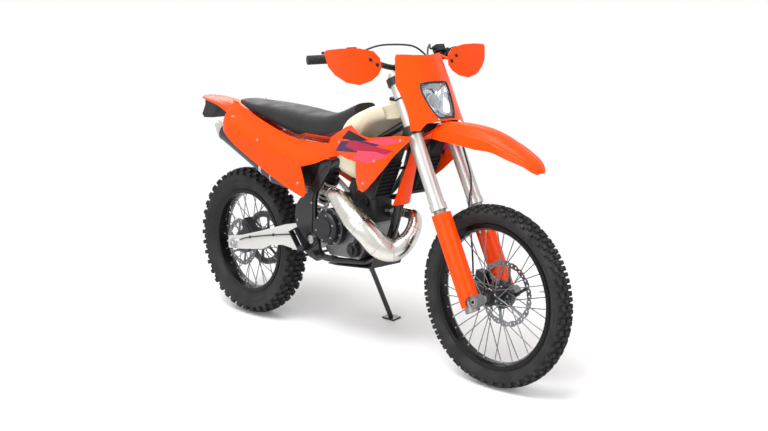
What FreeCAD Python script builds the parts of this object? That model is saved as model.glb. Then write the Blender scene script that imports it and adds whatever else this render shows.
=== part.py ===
"""Enduro dirt bike, built upright from its driving sizes and then leant on its side stand.

Millimetres. X runs forward, Y to the rider's left, Z up. The origin is the point on the floor
midway between the two axles, below the plane of the wheels. The steered pieces are drawn in a
frame of their own whose Z is the steering axis, and swung back by the rake.
"""

import FreeCAD
import Part
import math
import os
from FreeCAD import Placement, Rotation, Vector

# Whole machine
wheelbase = 1487.0
swingarm_reach = 575.5
pivot_z = 450.0
rake_deg = 26.1
body_half_width = 168.0
clamp_offset = 22.0
axle_lead = 35.0
lean_deg = 8.0
steer_lock_deg = 42.0

# Clearances
fit_gap = 0.05
moving_gap = 6.0
bend_share = 0.45
seat_gap = 0.3
cut_overrun = 40.0

# Front wheel
front_tyre_height = 83.3
front_tyre_half_width = 45.0
front_crown_drop = 22.0
front_seat_radius = 266.7
front_tyre_radius = front_seat_radius + front_tyre_height
front_rim_half_width = 20.3
front_hub_radius = 21.0
front_flange_radius = 33.0
front_flange_y = 34.0
front_hub_half_width = 60.0

# Rear wheel
rear_tyre_height = 113.4
rear_tyre_half_width = 62.0
rear_crown_drop = 22.0
rear_seat_radius = 228.6
rear_tyre_radius = rear_seat_radius + rear_tyre_height
rear_rim_half_width = 27.3
rear_hub_radius = 27.0
rear_flange_radius = 42.0
rear_flange_y = 36.0
rear_hub_right = 68.0
rear_hub_left = 80.0

# Both rims and their spokes
rim_flange_height = 12.0
rim_wall = 5.0
rim_depth = 13.0
rim_well_half_width = 12.0
spoke_count = 36
spoke_radius = 2.0
spoke_twist_deg = 52.0
spoke_seat_depth = 3.0
spoke_rim_y = 6.0
hub_flange_thickness = 6.0

# Axles
front_axle_radius = 10.0
front_axle_bore_radius = 7.0
rear_axle_radius = 12.5
rear_axle_bore_radius = 9.0
axle_collar_wall = 6.0
axle_head_thickness = 9.0
axle_head_radius = 18.0

# Brake discs
front_disc_radius = 130.0
front_disc_y = 58.0
rear_disc_radius = 110.0
rear_disc_y = 62.0
disc_thickness = 4.0
disc_track = 22.0
disc_hole_gap = 3.0
disc_carrier_radius = 54.0
disc_arm_width = 14.0
disc_arm_count = 6
pad_gap = 1.0
caliper_length = 92.0
caliper_depth = 42.0
caliper_wall = 17.0
rear_caliper_deg = -48.0
front_caliper_deg = -168.0

# Chain drive
chain_pitch = 15.875
chain_plate_height = 14.0
chain_width = 15.0
chain_y = 75.0
front_teeth = 13
rear_teeth = 48
countershaft_place_shares = (0.1487, -0.0068)
sprocket_thickness = 7.0
sprocket_roller_clearance = 7.3

# Fork
fork_half_spacing = 103.0
fork_outer_radius = 29.0
fork_inner_radius = 24.0
fork_outer_low = 368.0
fork_outer_high = 918.0
fork_inner_high = 520.0
fork_cap_radius = 24.0
fork_cap_height = 9.0
fork_seal_radius = 32.0
fork_seal_height = 24.0
lug_low = -34.0
lug_high = 52.0
lug_radius = 28.0
lug_half_width = 22.0
axle_boss_radius = 24.0

# Triple clamps and head tube
lower_clamp_low = 672.0
lower_clamp_thickness = 35.0
upper_clamp_low = 880.0
upper_clamp_thickness = 28.0
clamp_ring_wall = 9.0
clamp_bridge_front = 16.0
clamp_bridge_back = 22.0
stem_radius = 15.0
stem_nut_radius = 21.0
stem_nut_height = 14.0
head_tube_radius = 30.0
head_tube_gap = 5.0

# Handlebar
bar_bend_share = 0.28
bar_rise = 47.0
bar_height = upper_clamp_low + upper_clamp_thickness + bar_rise
bar_x = 8.0
bar_centre_radius = 14.3
bar_radius = 11.0
bar_centre_half = 95.0
bar_bend_y = 210.0
bar_bend_rise = 62.0
bar_bend_back = 30.0
grip_inner_y = 285.0
bar_end_y = 405.0
bar_end_rise = 88.0
bar_end_back = 96.0
grip_radius = 16.5
grip_collar_radius = 24.0
grip_collar_thickness = 5.0
riser_y = 42.0
riser_width = 26.0
riser_length = 40.0

# Fork guards
fork_guard_low = -12.0
fork_guard_high = 352.0
fork_guard_radius = 40.0
fork_guard_thickness = 3.0
fork_guard_open_share = 0.35

# Frame tubes
spar_radius = 16.0
down_tube_radius = 19.0
cradle_radius = 14.0
pivot_boss_radius = 30.0
arm_inner_y = 86.0
arm_thickness = 22.0
upright_thickness = 14.0
pivot_bolt_radius = 10.0

# Side stand
stand_pivot_shares = (0.0861, 0.8452, -0.16)
stand_down = (0.06, 0.40, -0.915)
stand_up = (-0.985, 0.04, 0.17)
stand_leg_radius = 11.0
stand_boss_radius = 17.0
stand_boss_length = 26.0
stand_pin_radius = 8.0
stand_foot_length = 74.0
stand_foot_width = 46.0
stand_foot_thickness = 8.0

# Engine
case_left_y = 60.0
case_right_y = -88.0
cover_chamfer = 6.0
clutch_place_shares = (0.2034, 0.1123)
clutch_radius = 78.0
clutch_depth = 34.0
clutch_cap_radius = 66.0
clutch_cap_depth = 24.0
flywheel_place_shares = (0.4734, 0.0204)
flywheel_radius = 62.0
flywheel_depth = 44.0
cylinder_place_shares = (0.4968, 0.1736)
cylinder_height = 116.0
cylinder_length = 112.0
cylinder_width = 112.0
cylinder_round = 22.0
head_radius = 58.0
head_height = 34.0
plug_radius = 8.0
plug_height = 40.0
port_radius = 25.0
port_height_share = 0.2451
port_length = 24.0
port_end_gap = 2.2
port_side_gap = 1.6

# Bodywork
plastic_thickness = 3.0
panel_steps = 6
mask_steps = 8
side_panel_steps = 14

# Levers: the perch clamps the bar inboard of the grip
lever_perch_length = 30.0
lever_perch_radius = 17.0
lever_reach = 62.0
lever_radius = 5.0
lever_pivot_share = 0.6
lever_knuckle_share = 0.4
lever_tip_share = 0.88
reservoir_length = 46.0
reservoir_width = 30.0
reservoir_height = 26.0

# Hand guards: outlines in the steering frame's front view, as shares of their width and height
guard_inner_y = 185.0
guard_width = 254.0
guard_low = 888.0
guard_height = 134.0
guard_front = 72.0
guard_sweep = 24.0
guard_tuck = 40.0
guard_outline_shares = [
    (0.0, 0.40), (0.01, 0.67), (0.12, 0.86), (0.40, 0.965), (0.72, 1.0), (0.97, 1.0), (1.0, 0.93), (0.96, 0.57),
    (0.86, 0.33), (0.68, 0.10), (0.45, 0.0), (0.22, 0.08), (0.08, 0.22),
]
guard_stay_radius = 6.0
guard_stay_share = 0.14

# Headlight mask
mask_low = 670.0
mask_height = 315.0
mask_half_width = 150.0
mask_front = 120.0
mask_wrap = 62.0
mask_half_shares = [
    (0.0, 0.905), (0.40, 0.93), (0.80, 0.985), (0.84, 0.95), (1.0, 0.62), (0.96, 0.46), (0.945, 0.25), (1.0, 0.03),
    (0.83, 0.0), (0.63, 0.07), (0.51, 0.06), (0.30, 0.055),
]
lamp_half_shares = [(0.48, 0.556), (0.507, 0.448), (0.44, 0.27), (0.307, 0.076)]
lamp_depth = 52.0
mask_arm_width = 10.0
mask_arm_share = 0.42
fender_room_gap = 4.0
lamp_inset = 5.0
lamp_gap = 0.4

# Front fender: a ridge line in the side view, with sides that drop away from it
fender_start_back = 281.5
fender_above_axle = 488.0
fender_start_x = wheelbase / 2 - fender_start_back
fender_low_z = front_tyre_radius + fender_above_axle
fender_length = 486.0
fender_height = 154.0
fender_round = 2.4
fender_ridge_shares = [
    (0.0, 0.945), (0.15, 1.0), (0.31, 0.995), (0.50, 0.93), (0.64, 0.80), (0.80, 0.56), (0.90, 0.38), (0.96, 0.22),
    (1.0, 0.02),
]
fender_half_shares = [0.78, 0.90, 0.98, 1.0, 1.0, 0.90, 0.74, 0.54, 0.20]
fender_drop_shares = [0.75, 0.95, 1.0, 1.0, 0.76, 0.56, 0.40, 0.26, 0.06]
fender_half_width = 76.0
fender_drop = 72.0
fender_rows = 9
fender_steps = 14
fender_tongue_back = 20.0
fender_tongue_half = 50.0
fender_tongue_thickness = 9.0

# Frame: lines and outlines in shares of the reach and the rise from the pivot to the head tube,
# and of the body's half width
spar_route_shares = [
    (1.025, 0.0714, 0.9532), (0.9115, 0.2381, 0.8783), (0.7198, 0.4286, 0.7728), (0.4382, 0.5476, 0.6434),
    (0.2113, 0.631, 0.5549), (0.133, 0.6845, 0.4766),
]
down_tube_route_shares = [
    (0.9937, 0.0, 0.9362), (0.9546, 0.0, 0.8102), (0.712, 0.0, 0.1191), (0.622, 0.0, -0.0443),
]
cradle_route_shares = [
    (0.6377, 0.0476, -0.017), (0.579, 0.369, -0.1123), (0.2113, 0.4167, -0.143), (0.0782, 0.6071, -0.126),
    (0.0352, 0.6429, -0.0681),
]
upright_outline_shares = [
    (0.2504, 0.5923), (0.2152, 0.5106), (0.133, 0.4289), (0.0587, 0.3489), (0.0352, 0.286),
    (0.0352, 0.1532), (0.0587, 0.0511), (0.0782, -0.0511), (0.1213, -0.1328), (0.0509, -0.1566),
    (-0.043, -0.1362), (-0.1135, -0.0987), (-0.1213, -0.0511), (-0.1174, 0.017), (-0.1252, 0.0851),
    (-0.1252, 0.1872), (-0.1017, 0.2621), (-0.0469, 0.3302), (-0.0078, 0.3983), (0.0626, 0.4766),
    (0.1252, 0.5923),
]
seat_rail_route_shares = [
    (0.1643, 0.5952, 0.5719), (-0.2582, 0.4524, 0.623), (-0.6103, 0.381, 0.6434),
    (-0.9624, 0.3214, 0.7319),
]
frame_guard_outline_shares = [
    (0.0078, 0.2928), (0.0078, 0.177), (-0.0039, 0.08), (0.0098, 0.0204), (-0.0078, -0.017),
    (-0.0606, -0.0238), (-0.1506, 0.017), (-0.2034, 0.0834), (-0.2191, 0.1481), (-0.2054, 0.2247),
    (-0.1526, 0.2774), (-0.0548, 0.3404), (-0.0313, 0.3779), (0.0313, 0.337),
]
guard_plate_thickness = 3.0
bolt_room_radius = 32.0
seat_strut_route_shares = [
    (-0.0391, 0.6488, 0.2894), (-0.3169, 0.5595, 0.4698), (-0.6181, 0.381, 0.6434),
]
seat_rail_radius = 11.0
cross_tube_place_shares = (0.1487, 0.5413)
upright_face_y = arm_inner_y + arm_thickness + seat_gap

# Swingarm bridge
arm_tube_radius = 18.0
arm_bridge_front_share = -0.1252
arm_bridge_back_share = -0.3599
arm_bridge_low_share = -0.1123
arm_bridge_high_share = 0.0102
arm_bridge_rise = 14.0

# Rear shock
shock_low_shares = (-0.2817, 0.0, 0.0409)
shock_high_shares = (0.0352, 0.0, 0.497)
shock_spring_radius = 34.0
shock_body_radius = 24.0
shock_rod_radius = 8.0
shock_eye_radius = 17.0
shock_eye_half = 18.0
shock_eye_share = 0.06
shock_spring_shares = (0.22, 0.78)

# Engine castings, mounts and posts
case_outline_shares = [
    (0.09, -0.0613), (0.1408, -0.1021), (0.4929, -0.0919), (0.5477, -0.0306), (0.5829, 0.0409),
    (0.5868, 0.1532), (0.6025, 0.1736), (0.3834, 0.1736), (0.2895, 0.2145), (0.18, 0.1872), (0.09, 0.0851),
]
countershaft_radius = 12.0
pivot_lug_length = 44.0
pivot_lug_half_width = 36.0
pivot_lug_half_height = 13.0
front_lug_length = 52.0
front_lug_half_width = 13.0
front_lug_low_share = 0.0204
front_lug_height = 24.0
front_lug_start_share = 0.5839
radiator_bar_radius = 6.0
shock_ear_thickness = 8.0
upper_ear_outline_shares = [
    (0.1721, 0.5617), (0.1643, 0.514), (0.043, 0.463), (0.0039, 0.497), (0.043, 0.5345),
]
lower_ear_outline_shares = [
    (-0.3247, -0.034), (-0.2386, -0.0204), (-0.2465, 0.0613), (-0.2817, 0.0749), (-0.3169, 0.0613),
]
seat_post_place_shares = (-0.2582, 0.6349)
seat_post_top_share = 0.7108
post_radius = 4.0
seat_post_radius = 7.0
fender_post_share = -0.9624
fender_post_top_share = 0.8121
muffler_bracket_place_shares = (-0.6299, 0.4732)
muffler_bracket_length = 16.0
muffler_bracket_width = 8.0
airbox_tab_place_shares = (-0.2778, 0.5957)
airbox_tab_length = 20.0
airbox_tab_height = 8.0
panel_post_place_shares = (-0.6103, 0.674)
throttle_start_share = 0.3867
throttle_end_share = 0.2152
throttle_height_share = 0.2757
throttle_radius = 27.0
boot_radius = 34.0
boot_length = 62.0

# Expansion chamber: centre line points with the radius at each
pipe_route_shares = [
    (0.6338, 0.1786, 0.2451), (0.6729, 0.1881, 0.2451), (0.7629, 0.2976, 0.2451), (0.8411, 0.3095, 0.2247),
    (0.8842, 0.1548, 0.1464), (0.8763, -0.0595, 0.0681), (0.8118, -0.3214, 0.0119),
    (0.7394, -0.6071, 0.0545), (0.6885, -0.744, 0.1226), (0.6357, -0.8512, 0.1753),
    (0.5555, -0.875, 0.2264), (0.4538, -0.8393, 0.2808), (0.3541, -0.7738, 0.3268),
    (0.2386, -0.6667, 0.3506), (0.1213, -0.5, 0.3438), (0.0156, -0.4286, 0.3404),
    (-0.1017, -0.4167, 0.3404), (-0.2269, -0.5238, 0.3506),
]
pipe_swell_shares = [
    0.4, 0.4, 0.44, 0.54, 0.62, 0.76, 0.92, 1.0, 1.0, 1.0, 0.96, 0.84,
    0.74, 0.58, 0.4, 0.3, 0.28, 0.28,
]
pipe_belly_radius = 50.0
pipe_slices = 2
muffler_start_shares = (-0.3286, -0.6369, 0.3643)
muffler_end_shares = (-1.2715, -0.6667, 0.7251)
muffler_half_width = 38.0
muffler_half_height = 46.0
muffler_nose_length = 84.0
muffler_nose_radius = 23.0
muffler_cap_length = 34.0
muffler_cap_share = 0.72
muffler_tip_radius = 18.0
muffler_tip_length = 20.0

# Tank, seat and airbox as smooth bodies through upright sections: x, low z, high z, half width
tank_section_shares = [
    (0.2113, 0.5872, 0.6774, 0.2976), (0.266, 0.4885, 0.817, 0.5952), (0.4069, 0.463, 0.9225, 0.7381),
    (0.4968, 0.48, 0.9566, 0.75), (0.5555, 0.5957, 0.9736, 0.7381), (0.6299, 0.8136, 0.9906, 0.7024),
    (0.7785, 0.8885, 1.011, 0.631), (0.8959, 0.9191, 1.0145, 0.5), (0.9781, 0.9362, 1.0042, 0.2976),
]
seat_section_shares = [
    (-1.1345, 0.8953, 0.9396, 0.2976), (-1.0406, 0.8783, 0.9396, 0.4048), (-0.9233, 0.8545, 0.9345, 0.5),
    (-0.7668, 0.8238, 0.9311, 0.5595), (-0.6103, 0.7864, 0.9259, 0.5833),
    (-0.3169, 0.7183, 0.9089, 0.5952), (-0.0039, 0.7047, 0.8919, 0.5476), (0.2034, 0.7183, 0.9276, 0.4762),
    (0.3482, 0.817, 0.977, 0.3929), (0.4303, 0.9191, 0.9974, 0.2976),
]
section_round = 3.2
section_points = 16
seat_joint_line_shares = [
    (0.1526, 0.6808), (0.2504, 0.7115), (0.3599, 0.817), (0.3873, 0.9191), (0.3951, 1.0893),
]
tank_gap = 0.4
tank_slot_half = 66.0
tank_tunnel_shares = [
    (0.0939, 0.2553), (0.0939, 0.5787), (0.446, 0.6128), (0.7198, 0.7659), (0.8959, 0.9293),
    (1.0719, 1.0042), (1.1502, 0.2553),
]
filler_place_shares = (0.7668, 1.0247)
filler_radius = 34.0
filler_cap_height = 14.0
filler_neck_height = 32.0
filler_neck_wall = 6.0
airbox_outline_shares = [
    (-0.1839, 0.3574), (-0.1839, 0.5957), (-0.2582, 0.6162), (-0.5125, 0.64), (-0.5751, 0.5787),
    (-0.5125, 0.4255), (-0.3364, 0.3234),
]
airbox_half_width = 50.0

# Radiators
radiator_place_shares = (0.8607, 0.5821)
radiator_inner_y = 62.0
radiator_width = 98.0
radiator_height = 250.0
radiator_depth = 34.0
radiator_tilt_deg = 24.0
shroud_boss_place_shares = (0.8959, 0.657)
shroud_boss_radius = 8.0

# Plastics with a side view outline; their outer Y follows a smooth rule
shroud_outline_shares = [
    (0.2817, 0.7183), (0.3091, 0.7659), (0.3971, 0.8068), (0.4929, 0.8476), (0.5594, 0.8647),
    (0.622, 0.8408), (0.7257, 0.8085), (0.8274, 0.8017), (0.9898, 0.8204), (1.1385, 0.8374),
    (1.246, 0.8374), (1.2206, 0.7983), (1.1111, 0.7132), (1.0093, 0.6213), (0.8861, 0.5277),
    (0.7805, 0.4613), (0.7003, 0.4221), (0.6494, 0.4323), (0.6416, 0.5021), (0.6651, 0.6281),
    (0.5047, 0.64), (0.4069, 0.6638),
]
shroud_back_y = 152.0
shroud_swell_share = 0.62
shroud_tuck_share = 0.7
shroud_tuck = 16.0
shroud_fall = 12.0
shroud_fall_reach = 100.0
shroud_middle_share = 0.6638
shroud_front_y = 194.0
shroud_x_low_share = 0.3795
shroud_length = 463.0
side_outline_shares = [
    (-1.1287, 0.9362), (-1.1189, 0.7813), (-1.1345, 0.7421), (-1.0837, 0.7013), (-0.9233, 0.6162),
    (-0.7668, 0.5532), (-0.5966, 0.4919), (-0.4382, 0.4323), (-0.1976, 0.3574), (-0.0137, 0.3098),
    (0.0156, 0.3421), (-0.0039, 0.4374), (-0.0391, 0.5294), (0.1193, 0.5651), (0.2934, 0.6247),
    (0.4538, 0.6536), (0.622, 0.6468), (0.622, 0.7081), (0.133, 0.7081), (-0.1408, 0.7081),
    (-0.3071, 0.7251), (-0.5281, 0.7796), (-0.712, 0.8238),
]
side_widest_y = body_half_width
side_front_y = 144.0
side_rear_y = 140.0
side_tail_y = 92.0
side_crease_y = 118.0
side_crease_fall = 90.0
side_crease_line_shares = [
    (-1.1424, 0.9345), (-0.712, 0.8204), (-0.176, 0.7081), (0.622, 0.7081),
]
side_rear_share = -1.0015
side_rear_run = 110.0
side_front_share = -0.1604
side_front_run = 300.0
crease_rear_share = -0.4929
crease_rear_run = 330.0
crease_front_share = -0.0626
rear_fender_section_shares = [
    (-0.6494, 0.7387, 0.3929, 0.1786), (-0.845, 0.7898, 0.4643, 0.2143), (-1.0406, 0.8442, 0.5119, 0.25),
    (-1.1776, 0.8783, 0.5119, 0.25), (-1.3654, 0.9157, 0.4762, 0.1548), (-1.5101, 0.9311, 0.4286, 0.119),
    (-1.6275, 0.9379, 0.369, 0.0952), (-1.7175, 0.9379, 0.2976, 0.0714), (-1.7683, 0.9345, 0.2024, 0.0476),
    (-1.784, 0.9328, 0.1071, 0.0238),
]
fender_side_rows = 9
tail_outline_shares = [
    (-1.5258, 0.943), (-1.5218, 0.8647), (-1.604, 0.7642), (-1.7214, 0.7591), (-1.7527, 0.7864),
    (-1.6979, 0.8647), (-1.6979, 0.943),
]

# Foot pegs, folded up against their mounts
peg_mount_shares = (-0.0861, 0.7298, -0.0783)
peg_fold = (-0.42, 0.20, 0.88)
peg_length = 96.0
# Tail and skid plate
tail_half_width = 42.0
skid_outline_shares = [
    (0.6651, -0.0443), (0.6181, -0.1338), (0.2113, -0.1675), (0.1095, -0.1675), (0.1095, -0.1743),
    (0.2113, -0.1743), (0.624, -0.1406), (0.6729, -0.0477),
]
skid_half_width = 84.0

# Foot pegs
peg_width = 44.0
peg_thickness = 24.0
peg_wall = 5.0
peg_mount_radius = 11.0

# Down tube cover: a wedge that widens downwards ahead of the tube
cover_top_height_share = 0.7081
cover_low_height_share = 0.3183
cover_top_half = 21.0
cover_low_half = 47.0
cover_sweep = 12.0

# Swingarm: outline as shares of the arm's length from the axle and of its depth above the centre line
arm_depth = 110.0
arm_outline_shares = [
    (1.031, 0.164), (1.0, 0.327), (0.93, 0.345), (0.857, 0.39), (0.757, 0.64), (0.649, 0.636), (0.527, 0.56),
    (0.338, 0.44), (0.077, 0.315), (-0.076, 0.255), (-0.076, -0.255), (0.077, -0.26), (0.359, -0.315), (0.461, -0.16),
    (0.621, -0.19), (0.729, -0.335), (0.823, -0.41), (0.904, -0.36), (1.0, -0.327), (1.031, -0.164),
]

# Foot controls
brake_pedal_route_shares = [
    (0.0391, -0.8274, -0.0953), (0.1135, -0.8929, -0.1123), (0.2504, -0.9405, -0.0919),
    (0.3247, -0.9405, -0.0783),
]
shift_lever_route_shares = [
    (0.2739, 0.4048, -0.0443), (0.2739, 0.5476, -0.0443), (0.356, 0.6905, -0.0545),
    (0.5008, 0.7381, -0.034),
]
pedal_radius = 6.0
pedal_pad_length = 34.0
pedal_pad_width = 30.0
pedal_pad_height = 10.0
pedal_boss_radius = 12.0

# Hoses and the instrument on the steering, in the steering frame
front_hose_route_shares = [
    (-0.2524, -2.1301, 1.0911), (-0.2524, -1.8447, 1.0911), (0.1942, -1.2621, 1.0974),
    (0.5825, -0.5825, 1.0785), (0.6602, 0.0971, 1.066), (0.6505, 0.6019, 1.0157), (0.6214, 0.8155, 0.9005),
    (0.6796, 0.8738, 0.6702), (0.6408, 0.7379, 0.4712), (0.2524, 0.5437, 0.3874),
    (-0.2913, 0.5437, 0.2094), (-0.7573, 0.6214, 0.1089),
]
clutch_hose_route_shares = [
    (-0.2524, 2.1301, 1.0911), (-0.2524, 1.8447, 1.0911), (0.1942, 1.4563, 1.0953),
    (0.4272, 0.9709, 1.0639), (0.4854, 0.6602, 0.9948), (0.4097, 0.6214, 0.9571), (0.4097, 0.6019, 0.9257),
]
hose_radius = 3.6
instrument_size = (54.0, 92.0, 18.0)
instrument_gap = 6.0

# Chain guide under the swingarm
guide_share = -0.7668
guide_length = 58.0
guide_wall = 4.0
guide_clearance = 5.0

# The head tube's middle, found from the front axle, the rake and the fork's offset
rake = math.radians(rake_deg)
steer_back = clamp_offset + axle_lead
head_middle = (lower_clamp_low + lower_clamp_thickness + upper_clamp_low) / 2
head_x = wheelbase / 2 - steer_back * math.cos(rake) - head_middle * math.sin(rake)
head_z = front_tyre_radius - steer_back * math.sin(rake) + head_middle * math.cos(rake)
pivot_x = swingarm_reach - wheelbase / 2
head_reach = head_x - pivot_x
head_rise = head_z - pivot_z


def chassis_x(share):
    return pivot_x + share * head_reach


def chassis_z(share):
    return pivot_z + share * head_rise


def chassis_outline(shares):
    """Side view points (x, z) from their shares."""
    return [(chassis_x(s), chassis_z(t)) for s, t in shares]


def chassis_route(shares):
    """Points (x, y, z) from their shares."""
    return [(chassis_x(s), u * body_half_width, chassis_z(t)) for s, u, t in shares]


def chassis_sections(shares):
    """Upright sections (x, low z, high z, half width) from their shares."""
    return [(chassis_x(s), chassis_z(low), chassis_z(high), u * body_half_width) for s, low, high, u in shares]


def steering_route(shares):
    """Points in the steering frame: across in shares of the forks' half spacing, up in shares of the bar's height."""
    return [(s * fork_half_spacing, u * fork_half_spacing, t * bar_height) for s, u, t in shares]


# Places, lines and outlines that follow the frame's size
(countershaft_x, countershaft_z), = chassis_outline([countershaft_place_shares])
(clutch_x, clutch_z), = chassis_outline([clutch_place_shares])
(flywheel_x, flywheel_z), = chassis_outline([flywheel_place_shares])
(cylinder_x, cylinder_base_z), = chassis_outline([cylinder_place_shares])
(cross_tube_x, cross_tube_z), = chassis_outline([cross_tube_place_shares])
(panel_post_x, panel_post_z), = chassis_outline([panel_post_place_shares])
(seat_post_x, seat_post_z), = chassis_outline([seat_post_place_shares])
(filler_x, filler_z), = chassis_outline([filler_place_shares])
(radiator_x, radiator_z), = chassis_outline([radiator_place_shares])
shroud_boss_place, muffler_bracket_place, airbox_tab_place = chassis_outline(
    [shroud_boss_place_shares, muffler_bracket_place_shares, airbox_tab_place_shares]
)
shock_low, shock_high, muffler_start, muffler_end, peg_mount, stand_pivot = chassis_route(
    [shock_low_shares, shock_high_shares, muffler_start_shares, muffler_end_shares, peg_mount_shares, stand_pivot_shares]
)
throttle_start_x = chassis_x(throttle_start_share)
throttle_end_x = chassis_x(throttle_end_share)
throttle_z = chassis_z(throttle_height_share)
port_z = chassis_z(port_height_share)
seat_post_top = chassis_z(seat_post_top_share)
fender_post_x = chassis_x(fender_post_share)
fender_post_top = chassis_z(fender_post_top_share)
front_lug_start = chassis_x(front_lug_start_share)
front_lug_low = chassis_z(front_lug_low_share)
arm_bridge_front = chassis_x(arm_bridge_front_share)
arm_bridge_back = chassis_x(arm_bridge_back_share)
arm_bridge_low = chassis_z(arm_bridge_low_share)
arm_bridge_high = chassis_z(arm_bridge_high_share)
cover_top_z = chassis_z(cover_top_height_share)
cover_low_z = chassis_z(cover_low_height_share)
shroud_x_low = chassis_x(shroud_x_low_share)
shroud_middle_z = chassis_z(shroud_middle_share)
side_rear_x = chassis_x(side_rear_share)
side_front_x = chassis_x(side_front_share)
crease_rear_x = chassis_x(crease_rear_share)
crease_front_x = chassis_x(crease_front_share)
guide_x = chassis_x(guide_share)
upright_outline = chassis_outline(upright_outline_shares)
frame_guard_outline = chassis_outline(frame_guard_outline_shares)
case_outline = chassis_outline(case_outline_shares)
upper_ear_outline = chassis_outline(upper_ear_outline_shares)
lower_ear_outline = chassis_outline(lower_ear_outline_shares)
seat_joint_line = chassis_outline(seat_joint_line_shares)
tank_tunnel = chassis_outline(tank_tunnel_shares)
airbox_outline = chassis_outline(airbox_outline_shares)
shroud_outline = chassis_outline(shroud_outline_shares)
side_outline = chassis_outline(side_outline_shares)
side_crease_line = chassis_outline(side_crease_line_shares)
tail_outline = chassis_outline(tail_outline_shares)
skid_outline = chassis_outline(skid_outline_shares)
spar_route = chassis_route(spar_route_shares)
down_tube_route = chassis_route(down_tube_route_shares)
cradle_route = chassis_route(cradle_route_shares)
seat_rail_route = chassis_route(seat_rail_route_shares)
seat_strut_route = chassis_route(seat_strut_route_shares)
brake_pedal_route = chassis_route(brake_pedal_route_shares)
shift_lever_route = chassis_route(shift_lever_route_shares)
front_hose_route = steering_route(front_hose_route_shares)
clutch_hose_route = steering_route(clutch_hose_route_shares)
tank_sections = chassis_sections(tank_section_shares)
seat_sections = chassis_sections(seat_section_shares)
rear_fender_sections = [
    (chassis_x(s), chassis_z(t), u * body_half_width, d * body_half_width) for s, t, u, d in rear_fender_section_shares
]
pipe_route = [
    point + (swell * pipe_belly_radius,) for point, swell in zip(chassis_route(pipe_route_shares), pipe_swell_shares)
]


def tilt_frame(shape):
    """Carries a shape from the steering frame, whose Z is the steering axis, to the bike."""
    moved = shape.copy()
    swing = Rotation(Vector(0, 1, 0), -rake_deg)
    shift = Vector(wheelbase / 2, 0, front_tyre_radius) - swing.multVec(Vector(steer_back, 0, 0))
    moved.Placement = Placement(shift, swing).multiply(moved.Placement)
    return moved


def steer_point(x, y, z):
    """The bike point that a steering frame point stands for."""
    swing = Rotation(Vector(0, 1, 0), -rake_deg)
    return Vector(wheelbase / 2, 0, front_tyre_radius) + swing.multVec(Vector(x - steer_back, y, z))


def mirrored(shape):
    """The same shape on the other side of the wheels' plane."""
    return shape.mirror(Vector(0, 0, 0), Vector(0, 1, 0))


def both_sides(shape):
    return [shape, mirrored(shape)]


def rod(start, end, radius):
    """A round bar between two points."""
    along = end - start
    return Part.makeCylinder(radius, along.Length, start, along)


def disc_y(radius, y_low, y_high, x, z):
    """A round slice whose axis runs along Y."""
    return Part.makeCylinder(radius, y_high - y_low, Vector(x, y_low, z), Vector(0, 1, 0))


def bent_path(points, share):
    """Straight runs joined by tangent arcs that use a share of the shorter run at each bend."""
    edges = []
    start = points[0]
    for before, corner, after in zip(points, points[1:], points[2:]):
        back = (before - corner).normalize()
        ahead = (after - corner).normalize()
        cut = share * min((before - corner).Length, (after - corner).Length)
        into = corner + back * cut
        out = corner + ahead * cut
        half_turn = (math.pi - back.getAngle(ahead)) / 2
        radius = cut / math.tan(half_turn)
        bisector = (back + ahead).normalize()
        centre = corner + bisector * (radius / math.cos(half_turn))
        middle = centre - bisector * radius
        edges.append(Part.LineSegment(start, into).toShape())
        edges.append(Part.Arc(into, middle, out).toShape())
        start = out
    edges.append(Part.LineSegment(start, points[-1]).toShape())
    return Part.Wire(edges)


def tube(points, radius, share=bend_share):
    """A round tube along a bent path."""
    path = bent_path(points, share)
    ring = Part.Wire(Part.Circle(points[0], points[1] - points[0], radius).toShape())
    return path.makePipeShell([ring], True, False)


def spread(shares, origin, size):
    """Points in a plane, from shares of a width and a height."""
    return [(origin[0] + s * size[0], origin[1] + t * size[1]) for s, t in shares]


def side_prism(outline, y_low, y_high):
    """A plate with a side view outline, from one Y to another."""
    points = [Vector(x, y_low, z) for x, z in outline]
    face = Part.Face(Part.makePolygon(points + points[:1]))
    return face.extrude(Vector(0, y_high - y_low, 0))


def smooth_outline(points, closed=True):
    """A spline wire through points, closed on itself."""
    curve = Part.BSplineCurve()
    curve.interpolate(points, PeriodicFlag=closed)
    return Part.Wire(curve.toShape())


def skin(height, first, second, steps, place):
    """A smooth face through a grid of points: place(a, b, height(a, b)) over two ranges."""
    rows = []
    for i in range(steps + 1):
        a = first[0] + (first[1] - first[0]) * i / steps
        row = []
        for j in range(steps + 1):
            b = second[0] + (second[1] - second[0]) * j / steps
            row.append(place(a, b, height(a, b)))
        rows.append(row)
    surface = Part.BSplineSurface()
    surface.interpolate(rows)
    return surface.toShape()


def panel(outline, sideways, thickness, steps=panel_steps):
    """A curved sheet with a side view outline. sideways(x, z) gives its outer Y."""
    xs = [x for x, z in outline]
    zs = [z for x, z in outline]
    spare = thickness
    sheet = skin(
        sideways,
        (min(xs) - spare, max(xs) + spare),
        (min(zs) - spare, max(zs) + spare),
        steps,
        lambda x, z, y: Vector(x, y, z),
    )
    slab = sheet.extrude(Vector(0, thickness, 0))
    box = slab.BoundBox
    return slab.common(side_prism(outline, box.YMin - spare, box.YMax + spare))


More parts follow.
